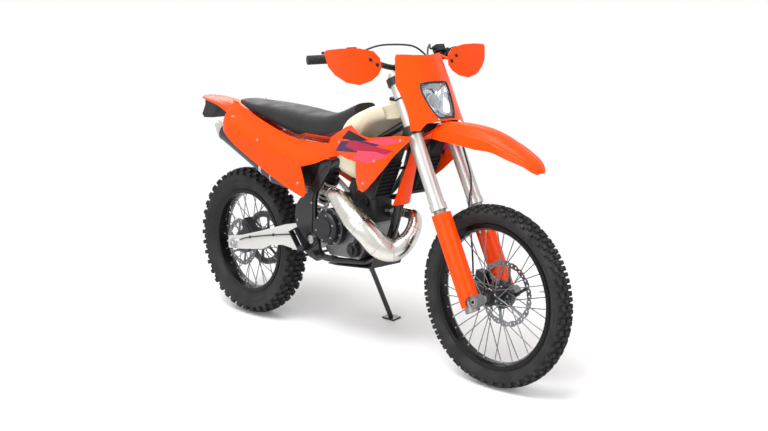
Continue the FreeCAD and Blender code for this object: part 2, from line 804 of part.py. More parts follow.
def front_panel(outline, forward, thickness, steps=panel_steps):
    """A curved sheet with a front view outline, in the steering frame. forward(y, z) gives X."""
    ys = [y for y, z in outline]
    zs = [z for y, z in outline]
    spare = thickness
    sheet = skin(
        forward,
        (min(ys) - spare, max(ys) + spare),
        (min(zs) - spare, max(zs) + spare),
        steps,
        lambda y, z, x: Vector(x, y, z),
    )
    slab = sheet.extrude(Vector(-thickness, 0, 0))
    box = slab.BoundBox
    points = [Vector(box.XMin - spare, y, z) for y, z in outline]
    prism = Part.Face(Part.makePolygon(points + points[:1])).extrude(
        Vector(box.XLength + spare + spare, 0, 0)
    )
    return slab.common(prism)


def revolved(profile, x, z):
    """A profile of (radius, y) edges turned about an axle at (x, z)."""
    points = [Vector(x, y, z + r) for r, y in profile]
    face = Part.Face(Part.makePolygon(points + points[:1]))
    return face.revolve(Vector(x, 0, z), Vector(0, 1, 0), 360)


def tyre(x, radius, half_width, crown_drop, seat_radius, rim_half):
    """The carcass out to its lugs' tips, seated between the rim's flanges."""
    lip = seat_radius + rim_flange_height
    shoulder = radius - crown_drop
    waist = (lip + shoulder) / 2

    def at(r, y):
        return Vector(x, y, radius + r)

    edges = [
        Part.LineSegment(at(seat_radius, -rim_half), at(seat_radius, rim_half)).toShape(),
        Part.LineSegment(at(seat_radius, rim_half), at(lip, rim_half)).toShape(),
        Part.Arc(at(lip, rim_half), at(waist, half_width - rim_wall), at(shoulder, half_width)).toShape(),
        Part.Arc(at(shoulder, half_width), at(radius, 0), at(shoulder, -half_width)).toShape(),
        Part.Arc(at(shoulder, -half_width), at(waist, rim_wall - half_width), at(lip, -rim_half)).toShape(),
        Part.LineSegment(at(lip, -rim_half), at(seat_radius, -rim_half)).toShape(),
    ]
    return Part.Face(Part.Wire(edges)).revolve(Vector(x, 0, radius), Vector(0, 1, 0), 360)


def rim(x, z, seat_radius, rim_half):
    lip = seat_radius + rim_flange_height
    outer = rim_half + rim_wall
    inner = seat_radius - rim_depth
    half = [
        (seat_radius, rim_half),
        (lip, rim_half),
        (lip, outer),
        (seat_radius - rim_wall, outer),
        (inner, rim_well_half_width),
    ]
    return revolved(half + [(r, -y) for r, y in reversed(half)], x, z)


def spokes(x, z, flange_radius, flange_y, rim_inner):
    """Both flanges' spokes, crossing one another, each seated in the flange and in the rim."""
    rods = []
    for i in range(spoke_count):
        side = 1 if i % 2 else -1
        lead = 1 if (i // 2) % 2 else -1
        rim_angle = 2 * math.pi * i / spoke_count
        hub_angle = rim_angle + lead * math.radians(spoke_twist_deg)
        hub_r = flange_radius - spoke_seat_depth
        rim_r = rim_inner + spoke_seat_depth
        start = Vector(x + hub_r * math.cos(hub_angle), side * flange_y, z + hub_r * math.sin(hub_angle))
        end = Vector(x + rim_r * math.cos(rim_angle), side * spoke_rim_y, z + rim_r * math.sin(rim_angle))
        rods.append(rod(start, end, spoke_radius))
    return rods


def hub(x, z, radius, flange_radius, flange_y, low, high, bosses, bore):
    """Barrel, two spoke flanges and the bosses that carry a disc or a sprocket."""
    half_flange = hub_flange_thickness / 2
    body = disc_y(radius, low, high, x, z)
    for side in (-1, 1):
        middle = side * flange_y
        body = body.fuse(disc_y(flange_radius, middle - half_flange, middle + half_flange, x, z))
    for boss_radius, boss_y in bosses:
        inner = math.copysign(flange_y, boss_y)
        body = body.fuse(disc_y(boss_radius, min(inner, boss_y), max(inner, boss_y), x, z))
    return body.cut(disc_y(bore, low - cut_overrun, high + cut_overrun, x, z))


def spoked_wheel(x, z, seat_radius, rim_half, hub_shape, flange_radius, flange_y):
    inner = seat_radius - rim_depth
    parts = spokes(x, z, flange_radius, flange_y, inner) + [hub_shape]
    return rim(x, z, seat_radius, rim_half).multiFuse(parts).removeSplitter()


def front_wheel():
    low = -front_hub_half_width
    high = front_hub_half_width
    boss_y = front_disc_y - disc_thickness / 2 - seat_gap
    middle = hub(
        wheelbase / 2, front_tyre_radius, front_hub_radius, front_flange_radius, front_flange_y,
        low, high, [(disc_carrier_radius, boss_y)], front_axle_radius + fit_gap,
    )
    return spoked_wheel(
        wheelbase / 2, front_tyre_radius, front_seat_radius, front_rim_half_width, middle,
        front_flange_radius, front_flange_y,
    )


def rear_wheel():
    disc_boss = -(rear_disc_y - disc_thickness / 2 - seat_gap)
    sprocket_boss = chain_y - sprocket_thickness / 2 - seat_gap
    middle = hub(
        -wheelbase / 2, rear_tyre_radius, rear_hub_radius, rear_flange_radius, rear_flange_y,
        -rear_hub_right, rear_hub_left, [(disc_carrier_radius, disc_boss), (disc_carrier_radius, sprocket_boss)],
        rear_axle_radius + fit_gap,
    )
    return spoked_wheel(
        -wheelbase / 2, rear_tyre_radius, rear_seat_radius, rear_rim_half_width, middle,
        rear_flange_radius, rear_flange_y,
    )


def disc(x, z, radius, y, hole_radius):
    """A brake disc: a track on arms from its carrier ring."""
    low = y - disc_thickness / 2
    high = y + disc_thickness / 2
    window = disc_y(radius - disc_track, low, high, x, z).cut(disc_y(disc_carrier_radius, low, high, x, z))
    for i in range(disc_arm_count):
        arm = Part.makeBox(
            radius, disc_thickness, disc_arm_width, Vector(x, low, z - disc_arm_width / 2)
        )
        arm.rotate(Vector(x, 0, z), Vector(0, 1, 0), 360 * i / disc_arm_count)
        window = window.cut(arm)
    plate = disc_y(radius, low, high, x, z).cut(disc_y(hole_radius, low, high, x, z))
    return plate.cut(window)


def caliper(x, z, radius, y, angle_deg):
    """A brake body that straddles the disc at an angle round the axle."""
    half = disc_thickness / 2 + pad_gap
    outside = half + caliper_wall
    top = radius + pad_gap * 4
    body = Part.makeBox(
        caliper_depth, 2 * outside, caliper_length,
        Vector(x + top - caliper_depth + caliper_wall / 2, y - outside, z - caliper_length / 2),
    )
    slot = disc_y(top, y - half, y + half, x, z)
    body = body.cut(slot)
    body.rotate(Vector(x, 0, z), Vector(0, 1, 0), angle_deg)
    return body


def rear_caliper():
    x = -wheelbase / 2
    z = rear_tyre_radius
    body = caliper(x, z, rear_disc_radius, -rear_disc_y, rear_caliper_deg)
    outer = -(rear_disc_y + disc_thickness / 2 + pad_gap + caliper_wall)
    wall = -(arm_inner_y - seat_gap)
    collar = rear_axle_radius + axle_collar_wall + seat_gap
    ring = disc_y(collar + axle_collar_wall, wall, outer, x, z)
    arm = Part.makeBox(rear_disc_radius, outer - wall, caliper_depth, Vector(x, wall, z - caliper_depth / 2))
    arm.rotate(Vector(x, 0, z), Vector(0, 1, 0), rear_caliper_deg)
    return body.multiFuse([ring, arm]).cut(disc_y(collar, wall - caliper_wall, outer + caliper_wall, x, z))


def front_caliper():
    x = wheelbase / 2
    z = front_tyre_radius
    body = caliper(x, z, front_disc_radius, front_disc_y, front_caliper_deg)
    outer = front_disc_y + disc_thickness / 2 + pad_gap + caliper_wall
    reach = fork_half_spacing - outer
    arm = Part.makeBox(front_disc_radius, reach, caliper_depth, Vector(x, outer, z - caliper_depth / 2))
    arm.rotate(Vector(x, 0, z), Vector(0, 1, 0), front_caliper_deg)
    lug_room = z_slice(
        lug_radius + seat_gap, lug_low - cut_overrun, lug_high + 2 * cut_overrun, clamp_offset, fork_half_spacing
    )
    arm = arm.cut(tilt_frame(lug_room))
    arm = max(arm.Solids, key=lambda s: -s.CenterOfMass.x)
    return body.fuse(arm)


def chain_geometry():
    """Axle distance, pitch radii and tangent angle that the wheels' places give the chain."""
    r_front = front_teeth * chain_pitch / (2 * math.pi)
    r_rear = rear_teeth * chain_pitch / (2 * math.pi)
    front = Vector(countershaft_x, chain_y, countershaft_z)
    rear = Vector(-wheelbase / 2, chain_y, rear_tyre_radius)
    return front, rear, r_front, r_rear


def chain_loop(offset):
    """The closed wire round both sprockets, at an offset from the pitch line."""
    front, rear, r_front, r_rear = chain_geometry()
    along = front - rear
    distance = along.Length
    heading = math.atan2(along.z, along.x)
    spread_angle = math.acos((r_rear - r_front) / distance)

    def at(centre, radius, angle):
        return centre + Vector(radius * math.cos(angle), 0, radius * math.sin(angle))

    big = r_rear + offset
    small = r_front + offset
    top = heading + spread_angle
    bottom = heading - spread_angle
    edges = [
        Part.Arc(at(rear, big, top), at(rear, big, heading + math.pi), at(rear, big, bottom)).toShape(),
        Part.LineSegment(at(rear, big, bottom), at(front, small, bottom)).toShape(),
        Part.Arc(at(front, small, bottom), at(front, small, heading), at(front, small, top)).toShape(),
        Part.LineSegment(at(front, small, top), at(rear, big, top)).toShape(),
    ]
    return Part.Wire(edges)


def chain():
    half = chain_plate_height / 2
    outer = Part.Face(chain_loop(half))
    ring = outer.cut(Part.Face(chain_loop(-half)))
    ring.translate(Vector(0, -chain_width / 2, 0))
    return ring.extrude(Vector(0, chain_width, 0))


def sprocket(centre, pitch_radius, bore):
    half = sprocket_thickness / 2
    radius = pitch_radius - sprocket_roller_clearance
    plate = disc_y(radius, centre.y - half, centre.y + half, centre.x, centre.z)
    return plate.cut(disc_y(bore, centre.y - half, centre.y + half, centre.x, centre.z))


def z_slice(radius, low, high, x, y):
    return Part.makeCylinder(radius, high - low, Vector(x, y, low))


def fork_tubes():
    shapes = []
    for side in (-1, 1):
        y = side * fork_half_spacing
        body = z_slice(fork_outer_radius, fork_outer_low, fork_outer_high, clamp_offset, y)
        body = body.fuse(
            z_slice(fork_seal_radius, fork_outer_low, fork_outer_low + fork_seal_height, clamp_offset, y)
        )
        body = body.fuse(
            z_slice(fork_cap_radius, fork_outer_high, fork_outer_high + fork_cap_height, clamp_offset, y)
        )
        low = fork_outer_low - cut_overrun
        bore = z_slice(fork_inner_radius + seat_gap, low, fork_inner_high + cut_overrun, clamp_offset, y)
        shapes.append(body.cut(bore))
    return shapes


def fork_legs():
    shapes = []
    for side in (-1, 1):
        y = side * fork_half_spacing
        leg = z_slice(fork_inner_radius, lug_low + fork_seal_height, fork_inner_high, clamp_offset, y)
        lug = z_slice(lug_radius, lug_low, lug_high, clamp_offset, y)
        boss = disc_y(axle_boss_radius, y - lug_half_width, y + lug_half_width, steer_back, 0)
        corner = Vector(clamp_offset, y - lug_half_width / 2, -axle_boss_radius)
        web = Part.makeBox(axle_lead, lug_half_width, 2 * axle_boss_radius, corner)
        body = leg.multiFuse([lug, boss, web])
        bore = disc_y(front_axle_radius, y - 2 * lug_half_width, y + 2 * lug_half_width, steer_back, 0)
        shapes.append(body.cut(bore))
    return shapes


def clamp(low, thickness):
    """One triple clamp: two rings and the bridge between them."""
    ring = fork_outer_radius + clamp_ring_wall
    body = Part.makeBox(
        clamp_bridge_front + clamp_bridge_back + clamp_offset, 2 * fork_half_spacing, thickness,
        Vector(-clamp_bridge_back, -fork_half_spacing, low),
    )
    hub_ring = z_slice(head_tube_radius, low, low + thickness, 0, 0)
    rings = [z_slice(ring, low, low + thickness, clamp_offset, s * fork_half_spacing) for s in (-1, 1)]
    body = body.multiFuse(rings + [hub_ring])
    below = low - cut_overrun
    above = low + thickness + cut_overrun
    for s in (-1, 1):
        body = body.cut(z_slice(fork_outer_radius, below, above, clamp_offset, s * fork_half_spacing))
    return body


def triple_clamps():
    upper_top = upper_clamp_low + upper_clamp_thickness
    stem = z_slice(stem_radius, lower_clamp_low, upper_top, 0, 0)
    nut = z_slice(stem_nut_radius, upper_top, upper_top + stem_nut_height, 0, 0)
    body = clamp(lower_clamp_low, lower_clamp_thickness).multiFuse(
        [clamp(upper_clamp_low, upper_clamp_thickness), stem, nut]
    )
    risers = []
    for side in (-1, 1):
        risers.append(
            Part.makeBox(
                riser_length, riser_width, bar_height + bar_centre_radius - upper_top + rim_wall,
                Vector(bar_x - riser_length / 2, side * riser_y - riser_width / 2, upper_top),
            )
        )
    body = body.multiFuse(risers)
    return body.cut(
        Part.makeCylinder(
            bar_centre_radius, 2 * fork_half_spacing, Vector(bar_x, -fork_half_spacing, bar_height), Vector(0, 1, 0)
        )
    )


def head_tube():
    low = lower_clamp_low + lower_clamp_thickness + head_tube_gap
    high = upper_clamp_low - head_tube_gap
    return z_slice(head_tube_radius, low, high, 0, 0)


def bar_points():
    """The bar's route: level centre, a rise on each side, then the swept grips."""
    half = [
        Vector(bar_x, bar_centre_half, bar_height),
        Vector(bar_x - bar_bend_back, bar_bend_y, bar_height + bar_bend_rise),
        grip_inner(),
        bar_end(),
    ]
    other = [Vector(p.x, -p.y, p.z) for p in reversed(half)]
    return other + half


def bar_end():
    return Vector(bar_x - bar_end_back, bar_end_y, bar_height + bar_end_rise)


def grip_inner():
    share = (grip_inner_y - bar_bend_y) / (bar_end_y - bar_bend_y)
    rise = bar_bend_rise + (bar_end_rise - bar_bend_rise) * share
    back = bar_bend_back + (bar_end_back - bar_bend_back) * share
    return Vector(bar_x - back, grip_inner_y, bar_height + rise)


def bar_tube(grow):
    points = [p for p in bar_points() if abs(abs(p.y) - grip_inner_y) > seat_gap]
    return tube(points, bar_radius + grow, bar_bend_share)


def handlebar():
    body = bar_tube(0.0)
    centre = Part.makeCylinder(
        bar_centre_radius, 2 * bar_centre_half - bar_radius * 4,
        Vector(bar_x, bar_radius * 2 - bar_centre_half, bar_height), Vector(0, 1, 0),
    )
    return body.fuse(centre)


def grips():
    start = grip_inner()
    end = bar_end()
    along = (end - start).normalize()
    sleeve = rod(start, end, grip_radius)
    collar = rod(start, start + along * grip_collar_thickness, grip_collar_radius)
    core = rod(start - along * cut_overrun, end + along * cut_overrun, bar_radius)
    return both_sides(sleeve.fuse(collar).cut(core))


def levers():
    start = grip_inner()
    end = bar_end()
    along = (end - start).normalize()
    perch_end = start - along * (grip_collar_thickness + seat_gap)
    perch_start = perch_end - along * lever_perch_length
    perch = rod(perch_start, perch_end, lever_perch_radius)
    middle = (perch_start + perch_end) * 0.5
    pivot = middle + Vector(lever_reach * lever_pivot_share, 0, 0)
    knuckle = pivot + along * lever_perch_length + Vector(lever_reach * lever_knuckle_share, 0, 0)
    tip = start + (end - start) * lever_tip_share + Vector(lever_reach, 0, 0)
    blade = tube([pivot, knuckle, tip], lever_radius)
    arm = rod(middle, pivot + Vector(lever_radius, 0, 0), lever_radius * 2)
    reservoir = Part.makeBox(
        reservoir_width, reservoir_length, reservoir_height,
        Vector(middle.x, middle.y - reservoir_length, middle.z + lever_radius),
    )
    body = perch.multiFuse([arm, blade, reservoir])
    core = rod(perch_start - along * cut_overrun, end, bar_radius)
    return both_sides(body.cut(core))


def hand_guards():
    outline = spread(guard_outline_shares, (guard_inner_y, guard_low), (guard_width, guard_height))
    shell = front_panel(outline, guard_forward, plastic_thickness)
    stay_y = guard_inner_y + guard_width * guard_stay_share
    stay_z = guard_low + guard_height / 2
    anchor = Vector(bar_x - bar_bend_back, bar_bend_y, bar_height + bar_bend_rise)
    toward = Vector(guard_forward(stay_y, stay_z) - plastic_thickness / 2, stay_y, stay_z)
    stay = rod(toward, anchor, guard_stay_radius).cut(bar_tube(seat_gap))
    return both_sides(shell.fuse(stay))


def mask_forward(y, z):
    side = y / mask_half_width
    return mask_front - mask_wrap * side * side


def mask_outline(shares, narrower):
    """A closed outline symmetric about the steering plane, from its left half."""
    half = spread(shares, (0.0, mask_low), (mask_half_width, mask_height))
    left = [(max(y - narrower, 0.0), z) for y, z in half]
    return left + [(-y, z) for y, z in reversed(left) if y > 0]


def yz_prism(outline, x_low, x_high):
    points = [Vector(x_low, y, z) for y, z in outline]
    return Part.Face(Part.makePolygon(points + points[:1])).extrude(Vector(x_high - x_low, 0, 0))


def headlight_mask():
    shell = front_panel(mask_outline(mask_half_shares, 0.0), mask_forward, plastic_thickness, mask_steps)
    hole = yz_prism(mask_outline(lamp_half_shares, 0.0), 0.0, mask_front + cut_overrun)
    arm_y = fork_half_spacing - mask_arm_width / 2
    arm_x = clamp_offset + fork_outer_radius + seat_gap
    reach = mask_forward(fork_half_spacing, 0.0) - plastic_thickness / 2 - arm_x
    arm_z = mask_low + mask_height * mask_arm_share
    arm = Part.makeBox(reach, mask_arm_width, mask_arm_width, Vector(arm_x, arm_y, arm_z))
    body = tilt_frame(shell.cut(hole).multiFuse(both_sides(arm))).cut(fender_room())
    return max(body.Solids, key=lambda s: s.Volume)


def headlight():
    """The lamp unit, whose glass follows the mask a little behind its face."""
    def glass(y, z):
        return mask_forward(y, z) - lamp_inset

    body = front_panel(mask_outline(lamp_half_shares, lamp_gap), glass, lamp_depth, mask_steps)
    return tilt_frame(body).cut(fender_room())


def fender_room():
    """The space that the front fender takes from what stands on it."""
    room = front_fender_sheet()
    room.translate(Vector(0, 0, fender_room_gap))
    return room.extrude(Vector(0, 0, -3 * cut_overrun)).fuse(fender_tongue(fender_room_gap))


def evenly(places, values):
    """Values at even steps, on the smooth curve through those at uneven places."""
    span = places[-1] - places[0]
    keys = [(place - places[0]) / span for place in places]
    curve = Part.BSplineCurve()
    curve.interpolate([Vector(k, 0, v) for k, v in zip(keys, values)], Parameters=keys)
    return [curve.value(i / fender_steps).z for i in range(fender_steps + 1)]


def fender_sheet(xs, zs, halves, drops, rows):
    """A smooth sheet through cross sections: ridge height less a rounded drop at the sides."""
    grid = []
    for x, z, half, drop in zip(*(evenly(xs, values) for values in (xs, zs, halves, drops))):
        line = []
        for j in range(rows):
            v = 2 * j / (rows - 1) - 1
            line.append(Vector(x, half * v, z - drop * abs(v) ** fender_round))
        grid.append(line)
    surface = Part.BSplineSurface()
    surface.interpolate(grid)
    return surface.toShape()


def front_fender_sheet():
    ridge = spread(fender_ridge_shares, (fender_start_x, fender_low_z), (fender_length, fender_height))
    return fender_sheet(
        [x for x, z in ridge], [z for x, z in ridge],
        [s * fender_half_width for s in fender_half_shares],
        [s * fender_drop for s in fender_drop_shares], fender_rows,
    )


def front_fender():
    shell = front_fender_sheet().extrude(Vector(0, 0, -plastic_thickness))
    return shell.fuse(fender_tongue(0.0))


def fender_tongue(grow):
    """The plate that bolts the fender under the lower clamp."""
    top = lower_clamp_low - seat_gap
    reach = fender_start_x - steer_point(-fender_tongue_back, 0, top).x
    length = reach / math.cos(math.radians(rake_deg)) + plastic_thickness * 5
    return tilt_frame(
        Part.makeBox(
            length + 2 * grow, 2 * fender_tongue_half + 2 * grow, fender_tongue_thickness + 2 * grow,
            Vector(-fender_tongue_back - grow, -fender_tongue_half - grow, top - fender_tongue_thickness - grow),
        )
    )


def fork_guards():
    shapes = []
    for side in (-1, 1):
        y = side * fork_half_spacing
        outer = z_slice(fork_guard_radius, fork_guard_low, fork_guard_high, clamp_offset, y)
        below = fork_guard_low - cut_overrun
        above = fork_guard_high + cut_overrun
        inner = z_slice(fork_guard_radius - fork_guard_thickness, below, above, clamp_offset, y)
        shell = outer.cut(inner)
        back_x = clamp_offset - fork_guard_radius * (1 + fork_guard_open_share)
        back = Part.makeBox(
            fork_guard_radius, 2 * fork_guard_radius, above - below, Vector(back_x, y - fork_guard_radius, below)
        )
        shell = shell.cut(back)
        room = 2 * fork_guard_radius
        boss_room = disc_y(axle_boss_radius + seat_gap, y - room, y + room, steer_back, 0)
        shapes.append(shell.cut(boss_room))
    return shapes


def front_axle():
    half = fork_half_spacing + lug_half_width
    x = wheelbase / 2
    z = front_tyre_radius
    body = disc_y(front_axle_radius, -half, half + axle_head_thickness, x, z)
    inner = fork_half_spacing - lug_half_width
    for side in (-1, 1):
        low, high = sorted((side * (front_hub_half_width + seat_gap), side * inner))
        body = body.fuse(disc_y(front_axle_radius + axle_collar_wall, low, high, x, z))
    body = body.fuse(disc_y(axle_head_radius, half, half + axle_head_thickness, x, z))
    return body.cut(disc_y(front_axle_bore_radius, -half - cut_overrun, half + cut_overrun, x, z))


def route(points):
    return [Vector(*p) for p in points]


def stand_axis():
    """The fold axis, square to the leg's lowered and raised directions."""
    return Vector(*stand_down).cross(Vector(*stand_up)).normalize()


def frame():
    spar = tube(route(spar_route), spar_radius)
    cradle = tube(route(cradle_route), cradle_radius)
    down = tube(route(down_tube_route), down_tube_radius)
    plate = side_prism(upright_outline, upright_face_y, upright_face_y + upright_thickness)
    boss = disc_y(
        pivot_boss_radius, upright_face_y, upright_face_y + upright_thickness + plastic_thickness, pivot_x, pivot_z
    )
    pieces = [down]
    for shape in (spar, cradle, plate, boss):
        pieces += both_sides(shape)
    reach = upright_face_y + upright_thickness / 2
    pieces.append(
        rod(Vector(cross_tube_x, -reach, cross_tube_z), Vector(cross_tube_x, reach, cross_tube_z), cradle_radius)
    )
    pivot = Vector(*stand_pivot)
    axis = stand_axis()
    half = stand_boss_length / 2
    root = pivot - axis * (half + upright_thickness * 2)
    pieces.append(rod(root, pivot + axis * (half + plastic_thickness), stand_pin_radius))
    pieces.append(rod(root, pivot - axis * (half + seat_gap), stand_boss_radius))
    pieces.append(
        Part.makeBox(
            front_lug_length, 2 * front_lug_half_width, front_lug_height,
            Vector(front_lug_start, -front_lug_half_width, front_lug_low),
        )
    )
    tube_x, slope = down_tube_at(radiator_z)
    reach_out = radiator_inner_y - seat_gap
    pieces.append(
        rod(Vector(tube_x, -reach_out, radiator_z), Vector(tube_x, reach_out, radiator_z), radiator_bar_radius)
    )
    ear = side_prism(upper_ear_outline, shock_eye_half + seat_gap, shock_eye_half + seat_gap + shock_ear_thickness)
    pieces += both_sides(ear)
    body = tilt_frame(head_tube()).multiFuse(pieces)
    stem_hole = tilt_frame(
        z_slice(stem_radius + fit_gap, lower_clamp_low - cut_overrun, upper_clamp_low + cut_overrun, 0, 0)
    )
    body = body.cut(stem_hole)
    pivot_hole = disc_y(pivot_bolt_radius, -2 * reach, 2 * reach, pivot_x, pivot_z)
    return body.cut(pivot_hole)


def subframe():
    rail = tube(route(seat_rail_route), seat_rail_radius)
    strut = tube(route(seat_strut_route), seat_rail_radius)
    pieces = both_sides(rail)[1:] + both_sides(strut)
    half = seat_rail_route[-1][1]
    end = seat_rail_route[-1]
    pieces.append(rod(Vector(end[0], -half, end[2]), Vector(end[0], half, end[2]), seat_rail_radius))
    pieces.append(rod(Vector(fender_post_x, 0, end[2]), Vector(fender_post_x, 0, fender_post_top), post_radius))
    reach = seat_rail_route[1][1]
    base = Vector(seat_post_x, 0, seat_post_z)
    pieces.append(rod(base - Vector(0, reach, 0), base + Vector(0, reach, 0), seat_post_radius))
    pieces.append(rod(base, Vector(seat_post_x, 0, seat_post_top), post_radius))
    start = Vector(*seat_rail_route[2])
    out_y = panel_side(panel_post_x, panel_post_z) - plastic_thickness - 2 * seat_gap
    pieces += both_sides(rod(start, Vector(panel_post_x, out_y, panel_post_z), seat_post_radius))
    x, z = muffler_bracket_place
    share = (x - muffler_start[0]) / (muffler_end[0] - muffler_start[0])
    inner = muffler_start[1] + (muffler_end[1] - muffler_start[1]) * share + muffler_half_width + seat_gap
    height = seat_strut_route[-1][2] - z
    pieces.append(Part.makeBox(muffler_bracket_length, muffler_bracket_width, height, Vector(x, inner, z)))
    x, z = airbox_tab_place
    corner = Vector(x, airbox_half_width + seat_gap, z)
    pieces += both_sides(Part.makeBox(airbox_tab_length, reach - airbox_half_width, airbox_tab_height, corner))
    return rail.multiFuse(pieces).cut(frame())


def side_stand():
    pivot = Vector(*stand_pivot)
    axis = stand_axis()
    down = Vector(*stand_down).normalize()
    half = stand_boss_length / 2
    slope = math.tan(math.radians(lean_deg))
    floor_drop = lean_lift() / math.cos(math.radians(lean_deg))
    length = (pivot.z - slope * pivot.y + floor_drop) / (slope * down.y - down.z)
    foot = pivot + down * length
    boss = rod(pivot - axis * half, pivot + axis * half, stand_boss_radius)
    leg = rod(pivot, foot, stand_leg_radius)
    pad = Part.makeBox(
        stand_foot_length, stand_foot_width, stand_foot_thickness,
        Vector(-stand_foot_length / 2, -stand_foot_width / 2, 0),
    )
    pad.Placement = Placement(foot, Rotation(Vector(1, 0, 0), lean_deg)).multiply(pad.Placement)
    below = Part.makeBox(4 * stand_foot_length, 4 * stand_foot_length, 2 * stand_foot_length)
    below.translate(Vector(-2 * stand_foot_length, -2 * stand_foot_length, -2 * stand_foot_length))
    below.Placement = Placement(foot, Rotation(Vector(1, 0, 0), lean_deg)).multiply(below.Placement)
    body = boss.multiFuse([leg, pad]).cut(below)
    return body.cut(
        rod(pivot - axis * cut_overrun, pivot + axis * cut_overrun, stand_pin_radius + fit_gap)
    )


def swingarm():
    """The two arms, and the bridge and pivot tube that are set between them."""
    rear_x = -wheelbase / 2
    length = pivot_x - rear_x
    outline = []
    for along, above in arm_outline_shares:
        base = rear_tyre_radius + (pivot_z - rear_tyre_radius) * min(max(along, 0.0), 1.0)
        outline.append((rear_x + along * length, base + above * arm_depth))
    arm = side_prism(outline, arm_inner_y, arm_inner_y + arm_thickness)
    inside = arm_inner_y - seat_gap
    bridge = side_prism(
        [
            (arm_bridge_back, arm_bridge_low - arm_bridge_rise), (arm_bridge_front, arm_bridge_low),
            (arm_bridge_front, arm_bridge_high), (arm_bridge_back, arm_bridge_high - arm_bridge_rise),
        ],
        -inside, inside,
    )
    cross = disc_y(arm_tube_radius, -inside, inside, pivot_x, pivot_z)
    ear = side_prism(lower_ear_outline, shock_eye_half + seat_gap, shock_eye_half + seat_gap + shock_ear_thickness)
    reach = 2 * (arm_inner_y + arm_thickness)
    holes = disc_y(rear_axle_radius, -reach, reach, rear_x, rear_tyre_radius).fuse(
        disc_y(pivot_bolt_radius, -reach, reach, pivot_x, pivot_z)
    )
    return [piece.cut(holes) for piece in both_sides(arm) + [bridge.multiFuse(both_sides(ear)), cross]]


def pivot_bolt():
    half = upright_face_y + upright_thickness + plastic_thickness
    body = disc_y(pivot_bolt_radius - seat_gap, -half, half, pivot_x, pivot_z)
    for side in (-1, 1):
        low, high = sorted((side * (half + seat_gap), side * (half + axle_head_thickness)))
        body = body.fuse(disc_y(axle_head_radius, low, high, pivot_x, pivot_z))
        low, high = sorted((side * half, side * (half + axle_head_thickness)))
        body = body.fuse(disc_y(pivot_bolt_radius - seat_gap, low, high, pivot_x, pivot_z))
    return body


def rear_axle():
    x = -wheelbase / 2
    z = rear_tyre_radius
    outer = arm_inner_y + arm_thickness
    body = disc_y(rear_axle_radius, -outer - axle_head_thickness, outer + axle_head_thickness, x, z)
    collar = rear_axle_radius + axle_collar_wall
    body = body.fuse(disc_y(collar, rear_hub_left + seat_gap, arm_inner_y - seat_gap, x, z))
    body = body.fuse(disc_y(collar, seat_gap - arm_inner_y, -rear_hub_right - seat_gap, x, z))
    for side in (-1, 1):
        low, high = sorted((side * (outer + seat_gap), side * (outer + axle_head_thickness)))
        body = body.fuse(disc_y(axle_head_radius + axle_collar_wall, low, high, x, z))
    return body.cut(disc_y(rear_axle_bore_radius, -outer - cut_overrun, outer + cut_overrun, x, z))


def rear_shock():
    low = Vector(*shock_low)
    high = Vector(*shock_high)
    way = high - low
    start = low + way * shock_spring_shares[0]
    end = low + way * shock_spring_shares[1]
    parts = [
        rod(low, high, shock_rod_radius),
        rod(start, end, shock_spring_radius),
        rod(end, high - way * shock_eye_share, shock_body_radius),
        disc_y(shock_eye_radius, -shock_eye_half, shock_eye_half, high.x, high.z),
    ]
    return disc_y(shock_eye_radius, -shock_eye_half, shock_eye_half, low.x, low.z).multiFuse(parts)


def crankcase():
    body = side_prism(case_outline, case_right_y, case_left_y)
    end = chain_y + sprocket_thickness
    shaft = disc_y(countershaft_radius - seat_gap, case_left_y - seat_gap, end, countershaft_x, countershaft_z)
    rear_lug = Part.makeBox(
        pivot_lug_length, 2 * pivot_lug_half_width, 2 * pivot_lug_half_height,
        Vector(pivot_x + arm_tube_radius + seat_gap, -pivot_lug_half_width, pivot_z - pivot_lug_half_height),
    )
    return body.multiFuse([shaft, rear_lug])


def ring_case(x, z, radius, y, depth):
    """A round engine cover with its outer edge broken."""
    low, high = sorted((y, y + depth))
    body = disc_y(radius, low, high, x, z)
    flat = [e for e in body.Edges if e.BoundBox.YLength < seat_gap]
    edge = [e for e in flat if abs(e.BoundBox.YMin - (y + depth)) < seat_gap]
    return body.makeChamfer(cover_chamfer, edge)


def clutch_cover():
    y = case_right_y - seat_gap
    ring = ring_case(clutch_x, clutch_z, clutch_radius, y, -clutch_depth)
    cap = ring_case(clutch_x, clutch_z, clutch_cap_radius, y - clutch_depth, -clutch_cap_depth)
    return ring.fuse(cap)


def ignition_cover():
    return ring_case(flywheel_x, flywheel_z, flywheel_radius, case_left_y + seat_gap, flywheel_depth)


def cylinder():
    base = cylinder_base_z + seat_gap
    block = Part.makeBox(
        cylinder_length, cylinder_width, cylinder_height,
        Vector(cylinder_x - cylinder_length / 2, -cylinder_width / 2, base),
    )
    block = block.makeFillet(cylinder_round, [e for e in block.Edges if e.BoundBox.ZLength > cylinder_round])
    top = base + cylinder_height
    head = z_slice(head_radius, top, top + head_height, cylinder_x, 0)
    plug = z_slice(plug_radius, top, top + head_height + plug_height, cylinder_x, 0)
    mouth = Vector(cylinder_x, pipe_route[0][1], port_z)
    port = Part.makeCylinder(port_radius, cylinder_length / 2 + port_length, mouth, Vector(1, 0, 0))
    body = block.multiFuse([head, plug, port])
    first = Vector(*pipe_route[0][:3]) - Vector(port_end_gap, 0, 0)
    return body.cut(rod(first, first + Vector(2 * port_length, 0, 0), pipe_route[0][3] + port_side_gap))


def throttle_body():
    core = Part.makeCylinder(
        throttle_radius, throttle_start_x - throttle_end_x, Vector(throttle_end_x, 0, throttle_z), Vector(1, 0, 0)
    )
    boot = Part.makeCylinder(
        boot_radius, boot_length, Vector(throttle_end_x - boot_length, 0, throttle_z), Vector(1, 0, 0)
    )
    return core.fuse(boot)


